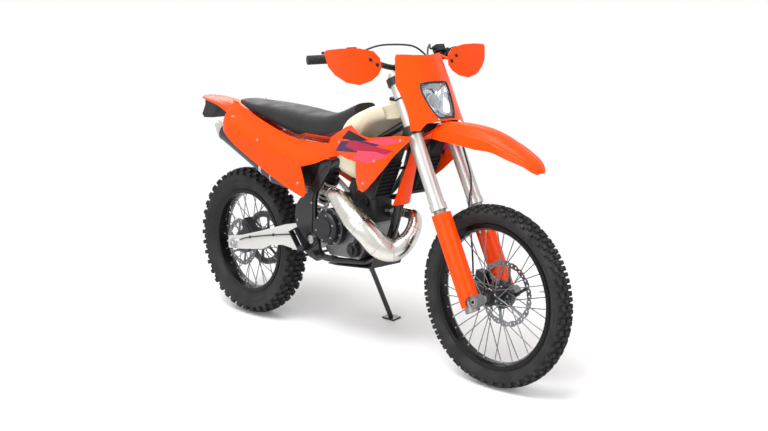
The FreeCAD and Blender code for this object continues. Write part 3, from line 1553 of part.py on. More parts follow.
def pipe_stations(points, slices):
    """Points and radii along a smooth curve through the pipe's centre line."""
    curve = Part.BSplineCurve()
    curve.interpolate([Vector(*p[:3]) for p in points])
    radii = Part.BSplineCurve()
    keys = [curve.parameter(Vector(*p[:3])) for p in points]
    radii.interpolate([Vector(k, 0, p[3]) for k, p in zip(keys, points)], Parameters=keys)
    stations = []
    for low, high in zip(keys, keys[1:]):
        for i in range(slices):
            t = low + (high - low) * i / slices
            stations.append((curve.value(t), curve.tangent(t)[0], radii.value(t).z))
    last = keys[-1]
    stations.append((curve.value(last), curve.tangent(last)[0], radii.value(last).z))
    return stations


def swelled_pipe(points, slices, widen):
    """A closed pipe of changing radius: a surface through rings along its centre line."""
    side = Vector(0, 1, 0)
    rings = []
    for centre, way, radius in pipe_stations(points, slices):
        side = (side - way * side.dot(way)).normalize()
        up = way.cross(side)
        ring = Part.Circle(centre, way, radius + widen)
        ring.XAxis = side
        rings.append(Part.Wire(ring.toShape()))
    return Part.makeLoft(rings, True, False)


def exhaust_pipe():
    return swelled_pipe(pipe_route, pipe_slices, 0.0)


def oval_ring(centre, way, half_width, half_height):
    side = Vector(0, 1, 0)
    side = (side - way * side.dot(way)).normalize()
    up = side.cross(way)
    oval = Part.Ellipse(Vector(0, 0, 0), half_height, half_width).toShape()
    oval.Placement = Placement(centre, Rotation(up, side, way, "ZXY"))
    return Part.Wire(oval)


def muffler():
    start = Vector(*muffler_start)
    end = Vector(*muffler_end)
    way = (end - start).normalize()
    nose_end = start + way * muffler_nose_length
    cap_start = end - way * muffler_cap_length
    small = muffler_nose_radius
    width = muffler_half_width
    height = muffler_half_height
    rings = [
        oval_ring(start, way, small, small), oval_ring(nose_end, way, width, height),
        oval_ring(cap_start, way, width, height),
        oval_ring(end, way, width * muffler_cap_share, height * muffler_cap_share),
    ]
    can = Part.makeLoft(rings, True, True)
    joint, leaving, pipe_radius = pipe_stations(pipe_route, pipe_slices)[-1]
    inlet = rod(joint, start + way * pipe_radius, pipe_radius + plastic_thickness)
    pipe_end = rod(joint - leaving * cut_overrun, joint + leaving * seat_gap, muffler_half_width)
    tip = rod(end - way * muffler_tip_length, end + way * muffler_tip_length, muffler_tip_radius)
    return can.multiFuse([inlet.cut(pipe_end), tip])


def rounded_section(x, low, high, half):
    """A closed, squarish oval in an upright plane."""
    points = []
    for i in range(section_points):
        a = 2 * math.pi * i / section_points
        c = math.cos(a)
        s = math.sin(a)
        y = half * math.copysign(abs(c) ** (2 / section_round), c)
        z = (low + high) / 2 + (high - low) / 2 * math.copysign(abs(s) ** (2 / section_round), s)
        points.append(Vector(x, y, z))
    return smooth_outline(points)


def smooth_body(sections):
    return Part.makeLoft([rounded_section(*s) for s in sections], True, False)


def seat_joint_prism(shift, above):
    """What lies above, or below, the plane surface where seat and tank meet."""
    line = [(x, z + shift) for x, z in seat_joint_line]
    far = line[-1][1] + cut_overrun * 6 if above else line[0][1] - cut_overrun * 6
    back = line[0][0] - cut_overrun * 2
    front = line[-1][0] + cut_overrun * 8
    if above:
        outline = line + [(line[-1][0], far), (back, far), (back, line[0][1])]
    else:
        outline = line + [(front, line[-1][1]), (front, far), (line[0][0], far)]
    return side_prism(outline, -4 * cut_overrun, 4 * cut_overrun)


def clamp_sweep(low, thickness):
    """The room that a clamp takes from lock to lock: a disc, open behind its bridge's rear edge."""
    lock = math.radians(steer_lock_deg)
    far = math.hypot(clamp_offset, fork_half_spacing) + fork_outer_radius + clamp_ring_wall + moving_gap
    tip = (clamp_bridge_back + moving_gap) / math.cos(lock)
    wide = (far - tip) / math.tan(lock)
    below = low - moving_gap
    outline = [Vector(-tip, 0, below), Vector(-far, wide, below), Vector(-far, -wide, below)]
    height = thickness + 2 * moving_gap
    wedge = Part.Face(Part.makePolygon(outline + outline[:1])).extrude(Vector(0, 0, height))
    return z_slice(far, low - moving_gap, low + thickness + moving_gap, 0, 0).cut(wedge)


def fork_sweep():
    """The two sectors that the fork tubes pass through from lock to lock."""
    margin = fork_outer_radius + moving_gap
    reach = math.hypot(clamp_offset, fork_half_spacing)
    half = steer_lock_deg + math.degrees(math.asin(margin / reach))
    centre = math.degrees(math.atan2(fork_half_spacing, clamp_offset))
    low = fork_outer_low - moving_gap
    height = fork_outer_high + fork_cap_height + moving_gap - low
    ring = Part.makeCylinder(reach + margin, height, Vector(0, 0, low), Vector(0, 0, 1), 2 * half)
    ring = ring.cut(z_slice(reach - margin, low - cut_overrun, low + height + cut_overrun, 0, 0))
    ring.rotate(Vector(0, 0, 0), Vector(0, 0, 1), centre - half)
    return both_sides(ring)


def steering_room():
    """All the room that the fixed bodywork leaves to the steering, in the bike's frame."""
    rooms = fork_sweep() + [
        clamp_sweep(lower_clamp_low, lower_clamp_thickness), clamp_sweep(upper_clamp_low, upper_clamp_thickness)
    ]
    return [tilt_frame(room) for room in rooms]


def fuel_tank():
    body = smooth_body(tank_sections).cut(seat_joint_prism(-seat_gap, True))
    spar = tube(route(spar_route), spar_radius + tank_gap)
    head_top = upper_clamp_low + 2 * cut_overrun
    head = tilt_frame(z_slice(head_tube_radius + head_tube_gap, lower_clamp_low, head_top, 0, 0))
    slot = side_prism(tank_tunnel, -tank_slot_half, tank_slot_half)
    for piece in both_sides(spar) + [head, slot] + steering_room():
        body = body.cut(piece)
    neck = z_slice(filler_radius + filler_neck_wall, filler_z - filler_neck_height, filler_z, filler_x, 0)
    return max(body.fuse(neck).Solids, key=lambda s: s.Volume)


def filler_cap():
    return z_slice(filler_radius, filler_z + seat_gap, filler_z + filler_cap_height, filler_x, 0)


def seat():
    body = smooth_body(seat_sections).cut(seat_joint_prism(0.0, False))
    return max(body.Solids, key=lambda s: s.Volume)


def airbox():
    return side_prism(airbox_outline, -airbox_half_width, airbox_half_width)


def radiators():
    core = Part.makeBox(
        radiator_depth, radiator_width, radiator_height,
        Vector(-radiator_depth / 2, radiator_inner_y, -radiator_height / 2),
    )
    core.Placement = Placement(
        Vector(radiator_x, 0, radiator_z), Rotation(Vector(0, 1, 0), radiator_tilt_deg)
    ).multiply(core.Placement)
    x, z = shroud_boss_place
    y = shroud_side(x, z) - plastic_thickness - 2 * seat_gap
    boss = disc_y(shroud_boss_radius, radiator_inner_y + radiator_width / 2, y, x, z)
    body = core.fuse(boss)
    for room in steering_room():
        body = body.cut(room)
    return both_sides(body)


def shroud_side(x, z):
    """Outer Y of the shroud: swelling forward, drawn in at its nose and towards both edges."""
    along = min(max((x - shroud_x_low) / shroud_length, 0.0), 1.0)
    rise = math.sin(min(along / shroud_swell_share, 1.0) * math.pi / 2)
    tuck = max(0.0, along - shroud_tuck_share) / (1 - shroud_tuck_share)
    fall = (z - shroud_middle_z) / shroud_fall_reach
    swell = (shroud_front_y - shroud_back_y) * rise
    return shroud_back_y + swell - shroud_tuck * tuck * tuck - shroud_fall * fall * fall


def shroud():
    return panel(shroud_outline, shroud_side, plastic_thickness)


def smooth_step(t):
    t = min(max(t, 0.0), 1.0)
    return t * t * (3 - 2 * t)


def height_on(line, x):
    """Z of a run of straight lines at x."""
    for (x0, z0), (x1, z1) in zip(line, line[1:]):
        if x <= x1:
            return z0 + (z1 - z0) * (x - x0) / (x1 - x0)
    return line[-1][1]


def panel_side(x, z):
    """Outer Y of the side panel: widest over the silencer, drawn in at the tail, ahead and on top."""
    ahead = smooth_step((x - side_front_x) / side_front_run)
    low = side_widest_y - (side_widest_y - side_rear_y) * smooth_step((side_rear_x - x) / side_rear_run)
    low -= (side_widest_y - side_front_y) * ahead
    top = side_crease_y - (side_crease_y - side_tail_y) * smooth_step((crease_rear_x - x) / crease_rear_run)
    top += (side_front_y - side_crease_y) * smooth_step((x - crease_front_x) / side_front_run)
    fall = smooth_step((height_on(side_crease_line, x) - z) / side_crease_fall)
    return top + (low - top) * fall


def side_panel():
    return panel(side_outline, panel_side, plastic_thickness, side_panel_steps)


def rear_fender_sheet():
    xs, zs, halves, drops = zip(*rear_fender_sections)
    return fender_sheet(xs, zs, halves, drops, fender_side_rows)


def rear_fender():
    return rear_fender_sheet().extrude(Vector(0, 0, -plastic_thickness))


def tail_bracket():
    body = side_prism(tail_outline, -tail_half_width, tail_half_width)
    room = rear_fender_sheet().extrude(Vector(0, 0, -plastic_thickness - seat_gap))
    return min(body.cut(room).Solids, key=lambda s: s.CenterOfMass.z)


def skid_plate():
    return side_prism(skid_outline, -skid_half_width, skid_half_width)


def footpegs():
    """Hollow pegs with their hinge ears, standing on the plates' outer faces."""
    start = Vector(*peg_mount)
    way = Vector(*peg_fold).normalize()
    out = Vector(0, 1, 0)
    out = (out - way * out.dot(way)).normalize()
    across = out.cross(way)
    outer = Part.makeBox(peg_width, peg_thickness, peg_length, Vector(-peg_width / 2, 0, 0))
    inner = Part.makeBox(
        peg_width - 2 * peg_wall, 4 * peg_thickness, peg_length - 5 * peg_wall,
        Vector(peg_wall - peg_width / 2, -2 * peg_thickness, 4 * peg_wall),
    )
    tread = outer.cut(inner)
    turn = FreeCAD.Matrix(
        across.x, out.x, way.x, 0, across.y, out.y, way.y, 0, across.z, out.z, way.z, 0, 0, 0, 0, 1
    )
    place = Placement(turn)
    place.Base = start + Vector(0, peg_wall, 0)
    tread.Placement = place
    stub = rod(start, start + Vector(0, peg_thickness, 0), peg_mount_radius)
    return both_sides(tread.fuse(stub))


def guard_forward(y, z):
    """Steering frame X of a hand guard: swept back outwards and drawn in at its lower edge."""
    out = max(0.0, (y - guard_inner_y) / guard_width)
    high = (z - guard_low) / guard_height
    return guard_front - guard_sweep * out * out - guard_tuck * (1 - high)


def frame_guards():
    """Plastic shields over the frame's uprights, cut clear of the pivot bolt."""
    inner = upright_face_y + upright_thickness + seat_gap
    plate = side_prism(frame_guard_outline, inner, inner + guard_plate_thickness)
    room = disc_y(bolt_room_radius, inner - cut_overrun, inner + cut_overrun, pivot_x, pivot_z)
    return both_sides(plate.cut(room))


def down_tube_at(z):
    """X of the down tube's centre line at a height, and its slope."""
    (x1, y1, z1), (x2, y2, z2) = down_tube_route[1:3]
    slope = (x1 - x2) / (z1 - z2)
    return x2 + slope * (z - z2), slope


def down_tube_front(z):
    """X of the down tube's front face at a height."""
    middle, slope = down_tube_at(z)
    return middle + down_tube_radius * math.hypot(1.0, slope)


def down_tube_cover():
    outline = [
        (-cover_top_half, cover_top_z), (cover_top_half, cover_top_z), (cover_low_half, cover_low_z),
        (-cover_low_half, cover_low_z),
    ]

    def forward(y, z):
        side = y / cover_low_half
        return down_tube_front(z) + seat_gap + plastic_thickness - cover_sweep * side * side

    return front_panel(outline, forward, plastic_thickness)


def brake_pedal():
    """A bent arm from its boss on the frame to a flat pad ahead of it."""
    points = route(brake_pedal_route)
    first = points[0]
    wall = -(upright_face_y + upright_thickness + seat_gap)
    boss = disc_y(pedal_boss_radius, first.y - pedal_radius, wall, first.x, first.z)
    end = points[-1]
    pad = Part.makeBox(
        pedal_pad_length, pedal_pad_width, pedal_pad_height,
        end - Vector(pedal_pad_length / 2, pedal_pad_width / 2, pedal_pad_height / 2),
    )
    return tube(points, pedal_radius).multiFuse([boss, pad])


def shift_lever():
    """The gear lever: a splined boss on its shaft, a bent arm and a round toe piece."""
    points = route(shift_lever_route)
    first = points[0]
    boss = disc_y(pedal_boss_radius, case_left_y + seat_gap, first.y + pedal_boss_radius, first.x, first.z)
    end = points[-1]
    toe = rod(end, end + Vector(0, pedal_pad_width, 0), pedal_radius + rim_wall / 2)
    return tube(points, pedal_radius).multiFuse([boss, toe])


def instrument():
    """The display on the upper clamp, ahead of the bar."""
    length, width, height = instrument_size
    top = upper_clamp_low + upper_clamp_thickness + instrument_gap
    body = Part.makeBox(length, width, height, Vector(bar_x + bar_centre_radius + instrument_gap, -width / 2, top))
    post_x = clamp_bridge_front + clamp_offset - instrument_gap
    post = z_slice(post_radius, top - instrument_gap + seat_gap, top, post_x, 0)
    corners = [e for e in body.Edges if e.BoundBox.ZLength > instrument_gap]
    return body.makeFillet(instrument_gap, corners).fuse(post)


def hoses():
    """Brake and clutch hoses, each an unbroken run of straights and arcs from its lever."""
    return [tube(route(front_hose_route), hose_radius), tube(route(clutch_hose_route), hose_radius)]


def chain_low(x):
    """Z of the chain's lower run at x."""
    front, rear, r_front, r_rear = chain_geometry()
    low_front = front.z - r_front
    low_rear = rear.z - r_rear
    share = (x - rear.x) / (front.x - rear.x)
    return low_rear + (low_front - low_rear) * share


def chain_guide():
    """A block round the chain's lower run, hung from the arm on an outer plate."""
    inner_y = chain_y - chain_width / 2 - guide_clearance
    outer_y = arm_inner_y - seat_gap
    mid = chain_low(guide_x)
    slope = (chain_low(guide_x + guide_length) - mid) / guide_length
    half = chain_plate_height / 2 + guide_clearance + abs(slope) * guide_length / 2
    start = guide_x - guide_length / 2
    length = guide_length
    block = Part.makeBox(
        length, outer_y - inner_y + 2 * guide_wall, 2 * (half + guide_wall),
        Vector(start, inner_y - guide_wall, mid - half - guide_wall),
    )
    room = Part.makeBox(
        length + 2 * cut_overrun, outer_y - inner_y, 2 * half, Vector(start - cut_overrun, inner_y, mid - half)
    )
    hanger = Part.makeBox(length, guide_wall, arm_depth, Vector(start, outer_y, mid))
    body = block.cut(room).fuse(hanger)
    for piece in swingarm():
        body = body.cut(piece)
    return min(body.Solids, key=lambda s: s.CenterOfMass.z)


def lean_lift():
    """How far the leant bike must rise for its round tread to touch the floor again."""
    crown = (rear_tyre_half_width ** 2 + rear_crown_drop ** 2) / (2 * rear_crown_drop)
    return crown * (1 - math.cos(math.radians(lean_deg)))


def stood(shape):
    """Leans a shape of the upright bike over onto its stand, the tyres on the floor."""
    lean = Placement(Vector(0, 0, lean_lift()), Rotation(Vector(1, 0, 0), -lean_deg))
    moved = shape.copy()
    moved.Placement = lean.multiply(moved.Placement)
    return moved


def write(name, shapes):
    solids = []
    for shape in shapes if isinstance(shapes, list) else [shapes]:
        solids += shape.Solids
    whole = [stood(s) for s in solids]
    body = whole[0] if len(whole) == 1 else Part.makeCompound(whole)
    body.exportStep(f"parts/{name}.step")
    return body


def main():
    os.makedirs("parts", exist_ok=True)
    rear_x = -wheelbase / 2
    front_x = wheelbase / 2
    front_z = front_tyre_radius
    rear_z = rear_tyre_radius
    front, rear, r_front, r_rear = chain_geometry()
    nodes = {
        "front_tyre": tyre(front_x, front_tyre_radius, front_tyre_half_width, front_crown_drop,
                           front_seat_radius, front_rim_half_width),
        "front_wheel": front_wheel(),
        "front_disc": disc(front_x, front_z, front_disc_radius, front_disc_y, front_hub_radius + disc_hole_gap),
        "rear_tyre": tyre(rear_x, rear_tyre_radius, rear_tyre_half_width, rear_crown_drop,
                          rear_seat_radius, rear_rim_half_width),
        "rear_wheel": rear_wheel(),
        "rear_disc": disc(rear_x, rear_z, rear_disc_radius, -rear_disc_y, rear_hub_radius + disc_hole_gap),
        "rear_sprocket": sprocket(rear, r_rear, rear_hub_radius + disc_hole_gap),
        "front_sprocket": sprocket(front, r_front, countershaft_radius),
        "frame": frame(),
        "subframe": subframe(),
        "side_stand": side_stand(),
        "swingarm": swingarm(),
        "pivot_bolt": pivot_bolt(),
        "rear_axle": rear_axle(),
        "rear_shock": rear_shock(),
        "crankcase": crankcase(),
        "clutch_cover": clutch_cover(),
        "ignition_cover": ignition_cover(),
        "cylinder": cylinder(),
        "throttle_body": throttle_body(),
        "exhaust_pipe": exhaust_pipe(),
        "muffler": muffler(),
        "fuel_tank": fuel_tank(),
        "filler_cap": filler_cap(),
        "seat": seat(),
        "airbox": airbox(),
        "radiators": radiators(),
        "shroud_left": shroud(),
        "shroud_right": mirrored(shroud()),
        "side_panel_left": side_panel(),
        "side_panel_right": mirrored(side_panel()),
        "rear_fender": rear_fender(),
        "tail_bracket": tail_bracket(),
        "skid_plate": skid_plate(),
        "footpegs": footpegs(),
        "brake_pedal": brake_pedal(),
        "shift_lever": shift_lever(),
        "frame_guards": frame_guards(),
        "down_tube_cover": down_tube_cover(),
        "chain_guide": chain_guide(),
        "hoses": [tilt_frame(s) for s in hoses()],
        "instrument": tilt_frame(instrument()),
        "rear_caliper": rear_caliper(),
        "front_caliper": front_caliper(),
        "triple_clamps": tilt_frame(triple_clamps()),
        "fork_tubes": [tilt_frame(s) for s in fork_tubes()],
        "fork_legs": [tilt_frame(s) for s in fork_legs()],
        "fork_guards": [tilt_frame(s) for s in fork_guards()],
        "handlebar": tilt_frame(handlebar()),
        "grips": [tilt_frame(s) for s in grips()],
        "levers": [tilt_frame(s) for s in levers()],
        "hand_guards": [tilt_frame(s) for s in hand_guards()],
        "headlight_mask": headlight_mask(),
        "headlight": headlight(),
        "front_fender": front_fender(),
        "front_axle": front_axle(),
        "chain": chain(),
    }
    for name, shapes in nodes.items():
        write(name, shapes)


main()
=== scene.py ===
import math

import bmesh
import bpy
import numpy as np
from mathutils import Matrix, Vector


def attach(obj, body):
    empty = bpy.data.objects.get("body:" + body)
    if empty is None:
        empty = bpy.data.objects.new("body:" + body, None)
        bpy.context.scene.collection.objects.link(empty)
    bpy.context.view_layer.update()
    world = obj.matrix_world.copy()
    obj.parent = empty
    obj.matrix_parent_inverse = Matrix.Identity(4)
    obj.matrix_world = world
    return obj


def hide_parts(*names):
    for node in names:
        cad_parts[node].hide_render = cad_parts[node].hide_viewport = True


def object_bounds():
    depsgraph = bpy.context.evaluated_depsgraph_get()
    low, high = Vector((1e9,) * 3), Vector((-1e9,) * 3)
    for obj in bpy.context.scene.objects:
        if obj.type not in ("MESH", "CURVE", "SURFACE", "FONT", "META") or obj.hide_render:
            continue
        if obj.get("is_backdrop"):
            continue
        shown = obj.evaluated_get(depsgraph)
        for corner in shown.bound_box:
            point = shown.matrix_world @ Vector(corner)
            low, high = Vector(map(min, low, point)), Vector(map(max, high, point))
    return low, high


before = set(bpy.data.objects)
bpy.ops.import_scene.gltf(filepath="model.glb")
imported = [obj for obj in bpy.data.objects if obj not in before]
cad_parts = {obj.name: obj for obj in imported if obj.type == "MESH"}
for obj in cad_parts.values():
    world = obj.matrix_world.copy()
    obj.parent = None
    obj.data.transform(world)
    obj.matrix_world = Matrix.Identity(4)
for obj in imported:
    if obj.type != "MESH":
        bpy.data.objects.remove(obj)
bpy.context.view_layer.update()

# %% [markdown]
# # Enduro motorcycle on its side stand
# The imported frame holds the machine's main shapes. This notebook gives them their finishes and adds what
# is too fine for the frame: tread lugs, chain links, teeth, coils, cooling fins, bolts, cables and lamps.
# A drawing's sizes are in millimetres in the upright machine's own frame; one matrix leans them over.

# %% Frames of the machine
MM = 0.001
LEAN = math.radians(8.0)
RAKE = math.radians(26.1)
TRAIL_OFFSET = 57.0
FRONT_RADIUS, REAR_RADIUS = 350.0, 342.0
FRONT_HALF, REAR_HALF, CROWN_RISE = 45.0, 62.0, 22.0
FRONT_CROWN = (FRONT_HALF ** 2 + CROWN_RISE ** 2) / (2 * CROWN_RISE)
REAR_CROWN = (REAR_HALF ** 2 + CROWN_RISE ** 2) / (2 * CROWN_RISE)
FRONT_AXLE = np.array([743.5, 0.0, FRONT_RADIUS])
REAR_AXLE = np.array([-743.5, 0.0, REAR_RADIUS])
LIFT = REAR_CROWN * (1 - math.cos(LEAN)) * MM
LEANED = Matrix.Translation((0, 0, LIFT)) @ Matrix.Rotation(-LEAN, 4, "X")


def steered(p):
    """Steering frame points in the upright frame: turned back by the rake about the front axle."""
    p = np.atleast_2d(np.asarray(p, float))
    x = p[:, 0] - TRAIL_OFFSET
    c, s = math.cos(RAKE), math.sin(RAKE)
    return np.column_stack([
        FRONT_AXLE[0] + x * c - p[:, 2] * s, p[:, 1], FRONT_AXLE[2] + x * s + p[:, 2] * c])


def steered_seat(place, step):
    """A place of the steering frame and the way of a step from it, both in the upright frame."""
    at, ahead = steered([place, np.add(place, step)])
    return at, ahead - at


def placed(points):
    """Upright millimetres to leant metres: rotate about X by the lean, then lift onto the tread."""
    m = np.array(LEANED)
    return np.asarray(points, float) * MM @ m[:3, :3].T + m[:3, 3]


print("lift of the leant machine, mm:", round(LIFT / MM, 3))

# %% [markdown]
# ## Building blocks
# Each shape is worked out as arrays of points and joined into one mesh per piece. A grid can be closed
# round one way, which makes tubes, rings and turned parts. Doing it with arrays keeps every formula in one
# place, and lets a hundred links or lugs cost one call.

# %% Mesh helpers
def grid(points, wrap_u=False, wrap_v=False):
    """Quads over an (nu, nv, 3) array of points, joined end to start where a direction wraps."""
    nu, nv = points.shape[:2]
    i, j = np.meshgrid(
        np.arange(nu if wrap_u else nu - 1), np.arange(nv if wrap_v else nv - 1), indexing="ij")
    a, b = i * nv + j, i * nv + (j + 1) % nv
    c, d = (i + 1) % nu * nv + (j + 1) % nv, (i + 1) % nu * nv + j
    return points.reshape(-1, 3), np.stack([a, b, c, d], -1).reshape(-1, 4).tolist()


def merged(parts):
    """Several (points, faces) as one, each part's faces shifted past the points before it."""
    points, faces, base = [], [], 0
    for p, f in parts:
        points.append(np.asarray(p, float).reshape(-1, 3))
        faces += [[k + base for k in face] for face in f]
        base += len(points[-1])
    return np.concatenate(points), faces


def capped(rings):
    """A closed body from rings of points: the side grid and a face over each end ring."""
    rings = np.asarray(rings, float)
    p, f = grid(rings, wrap_v=True)
    n = rings.shape[1]
    return p, f + [list(range(n)), list(range(len(p) - 1, len(p) - n - 1, -1))]


def looped(rings):
    """A closed body from rings of points whose last ring joins the first."""
    return grid(np.asarray(rings, float), wrap_u=True, wrap_v=True)


def frames_along(path):
    """Tangent and two normals at each point: a normal is the last one less its part along the tangent."""
    t = np.gradient(path, axis=0)
    t /= np.linalg.norm(t, axis=1)[:, None]
    first = np.cross(t[0], [0, 0, 1.0])
    if np.linalg.norm(first) < 0.1:
        first = np.cross(t[0], [0, 1.0, 0])
    normals = [first / np.linalg.norm(first)]
    for k in range(1, len(t)):
        n = normals[-1] - t[k] * (normals[-1] @ t[k])
        normals.append(n / np.linalg.norm(n))
    n = np.array(normals)
    return t, n, np.cross(t, n)


def curved(points, per_span=6):
    """A smooth line through points: on each span the cubic with half the neighbours' distance as slopes."""
    p = np.asarray(points, float)
    p = np.vstack([2 * p[0] - p[1], p, 2 * p[-1] - p[-2]])
    u = np.linspace(0, 1, per_span, endpoint=False)[:, None]
    spans = []
    for a, b, c, d in zip(p, p[1:], p[2:], p[3:]):
        square, cube = 2 * a - 5 * b + 4 * c - d, 3 * b - a - 3 * c + d
        spans.append(0.5 * (2 * b + (c - a) * u + square * u ** 2 + cube * u ** 3))
    return np.vstack(spans + [p[-2][None]])


def once_round(sides):
    """Equal angles round a full turn."""
    return np.linspace(0, 2 * math.pi, sides, endpoint=False)


def circle(angles, u, v):
    """Points cos a times u plus sin a times v."""
    return np.outer(np.cos(angles), u) + np.outer(np.sin(angles), v)


def swept(path, radius, sides=10):
    """A round body along a path: centre plus radius times (cos a, sin a) in the path's two normals."""
    path = np.asarray(path, float)
    t, n, b = frames_along(path)
    a = once_round(sides)
    r = np.broadcast_to(np.asarray(radius, float), (len(path),))[:, None, None]
    ring = n[:, None] * np.cos(a)[None, :, None] + b[:, None] * np.sin(a)[None, :, None]
    return capped(path[:, None] + r * ring)


def around(axle, r, angle, y):
    """Points at a radius and an angle round an axle along Y: x = r cos a, z = r sin a."""
    r, angle, y = np.broadcast_arrays(r, angle, y)
    return np.stack([axle[0] + r * np.cos(angle), axle[1] + y, axle[2] + r * np.sin(angle)], -1)


def turned(profile, axle, sides):
    """A profile of (radius, y) turned about an axle along Y."""
    r, y = np.asarray(profile, float).T
    return looped(around(axle, r, once_round(sides)[:, None], y))


def flat_ring(axle, inner, outer, low, high, sides):
    """A flat washer about an axle along Y, from y = low to high."""
    return turned([(inner, low), (outer, low), (outer, high), (inner, high)], axle, sides)


def basis(normal):
    """Two unit vectors square to a normal."""
    n = np.asarray(normal, float) / np.linalg.norm(normal)
    side = np.cross(n, [0, 0, 1.0] if abs(n[2]) < 0.9 else [1.0, 0, 0])
    side /= np.linalg.norm(side)
    return n, side, np.cross(n, side)


def stacked(place, normal, radius, height, sides, stations):
    """Rings of radius times k, each height times h up the normal from a place, joined and capped."""
    n, s, u = basis(normal)
    ring = circle(once_round(sides), s, u)
    return capped([place + radius * k * ring + n * height * h for k, h in stations])


def bolt(place, normal, radius, height, sides=6):
    """A chamfered head with a socket sunk into it."""
    return stacked(place, normal, radius, height, sides,
                   [(1.0, -0.6), (1.0, 0.75), (0.86, 1.0), (0.5, 1.0), (0.42, 0.45)])


def disc_body(place, normal, radius, height, sides=24, ease=0.12):
    """A round body with its edge eased."""
    return stacked(place, normal, radius, height, sides,
                   [(1.0, 0.0), (1.0, 1 - ease), (1 - ease * height / radius, 1.0)])


def block(centre, size, ease=1.5, axes=None):
    """A box with eased edges, on its own axes if given: eight corners of each of three nested layers."""
    h = np.asarray(size, float) / 2
    e = min(ease, 0.45 * h.min())
    rings = []
    for z, inset in ((-h[2], e), (-h[2] + e, 0.0), (h[2] - e, 0.0), (h[2], e)):
        x, y = h[0] - inset, h[1] - inset
        rings.append([(x, y - e, z), (x - e, y, z), (e - x, y, z), (-x, y - e, z),
                      (-x, e - y, z), (e - x, -y, z), (x - e, -y, z), (x, e - y, z)])
    points = np.array(rings)
    if axes is not None:
        points = points @ np.asarray(axes, float)
    return capped(points + np.asarray(centre, float))


def linked(name, data):
    """A new object in the scene."""
    obj = bpy.data.objects.new(name, data)
    bpy.context.scene.collection.objects.link(obj)
    return obj


def piece(name, shape, material, body, smooth=35.0):
    """One object on its body from (points in upright mm, faces) or a list of them: smooth below an angle."""
    points, faces = merged(shape) if isinstance(shape, list) else shape
    mesh = bpy.data.meshes.new(name)
    mesh.from_pydata(placed(points).tolist(), [], faces)
    mesh.update()
    bm = bmesh.new()
    bm.from_mesh(mesh)
    bmesh.ops.recalc_face_normals(bm, faces=bm.faces)
    bm.to_mesh(mesh)
    bm.free()
    mesh.shade_smooth()
    mesh.set_sharp_from_angle(angle=math.radians(smooth))
    mesh.materials.append(material)
    obj = linked(name, mesh)
    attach(obj, body)
    print(name, len(points), "points on", body)
    return obj

# %% [markdown]
# ## Finishes
# Moulded panels are gloss polypropylene with a faint orange peel; the black parts are grained; castings are
# rough and machined faces finely lined. Every finish is a Principled surface whose roughness drifts over
# hand-sized patches, as on handled and washed machines, with a fine bump at the size of its real grain.

# %% Finish helpers
PATCH = 70.0
SHADER = "Principled BSDF"


def srgb(code):
    """A hex colour as linear RGBA: up to 0.04045 divided by 12.92, above it ((c + 0.055) / 1.055) to 2.4."""
    c = np.array([int(code[i:i + 2], 16) for i in (1, 3, 5)]) / 255
    return tuple(np.where(c <= 0.04045, c / 12.92, ((c + 0.055) / 1.055) ** 2.4)) + (1.0,)


def feed(tree, node, **inputs):
    """Gives a node's inputs their values or sockets, by input name or _number."""
    for key, value in inputs.items():
        socket = node.inputs[int(key[1:])] if key[0] == "_" else node.inputs[key.replace("_", " ")]
        if isinstance(value, bpy.types.NodeSocket):
            tree.links.new(value, socket)
        else:
            socket.default_value = value
    return node


def add(tree, kind, settings=None, **inputs):
    """A shader node with its options set and its inputs fed."""
    node = tree.nodes.new("ShaderNode" + kind)
    for key, value in (settings or {}).items():
        setattr(node, key, value)
    return feed(tree, node, **inputs)


def calc(tree, operation, *values):
    """The result of one arithmetic node on numbers or sockets."""
    inputs = {f"_{k}": value for k, value in enumerate(values)}
    return add(tree, "Math", {"operation": operation}, **inputs).outputs[0]


def upright_xyz(tree):
    """Object coordinates turned back from the lean: x, y and z sockets in upright metres."""
    leant = add(tree, "TexCoord").outputs["Object"]
    upright = add(tree, "Mapping", Vector=leant, Rotation=(LEAN, 0, 0),
                  Location=LEANED.inverted().to_translation())
    return tuple(add(tree, "SeparateXYZ", Vector=upright.outputs[0]).outputs)


def bumped(material, height, depth):
    """Raises a finish by a height socket times a depth in mm."""
    tree = material.node_tree
    bump = add(tree, "Bump", Height=height, Distance=depth * MM)
    feed(tree, tree.nodes[SHADER], Normal=bump.outputs[0])


def finish_of(name, code, metallic=0.0, rough=0.5, spread=0.08, grain=0.0, depth=0.0, coat=0.0, **more):
    """A named finish; grain is the bump's size and depth its height, both in mm."""
    m = bpy.data.materials.new(name)
    m.use_nodes = True
    tree = m.node_tree
    place = add(tree, "TexCoord").outputs["Object"]
    patches = add(tree, "TexNoise", Vector=place, Scale=1 / (PATCH * MM), Detail=4.0)
    drift = add(tree, "MapRange", Value=patches.outputs["Fac"], From_Min=0.35, From_Max=0.65,
                To_Min=max(rough - spread, 0.02), To_Max=min(rough + spread, 1.0))
    feed(tree, tree.nodes[SHADER], Base_Color=srgb(code), Metallic=metallic, Roughness=drift.outputs[0],
         Coat_Weight=coat, Coat_Roughness=0.08, **more)
    if grain:
        fine = add(tree, "TexNoise", Vector=place, Scale=1 / (grain * MM), Detail=3.0)
        bumped(m, fine.outputs["Fac"], depth)
    return m


def overlay(material, mask, code):
    """Paints a colour over what a finish shows wherever the mask socket is 1."""
    tree = material.node_tree
    shown = tree.nodes[SHADER].inputs["Base Color"]
    under = shown.links[0].from_socket if shown.links else tuple(shown.default_value)
    mix = add(tree, "Mix", {"data_type": "RGBA"}, _0=mask, _6=under, _7=srgb(code))
    feed(tree, tree.nodes[SHADER], Base_Color=mix.outputs[2])


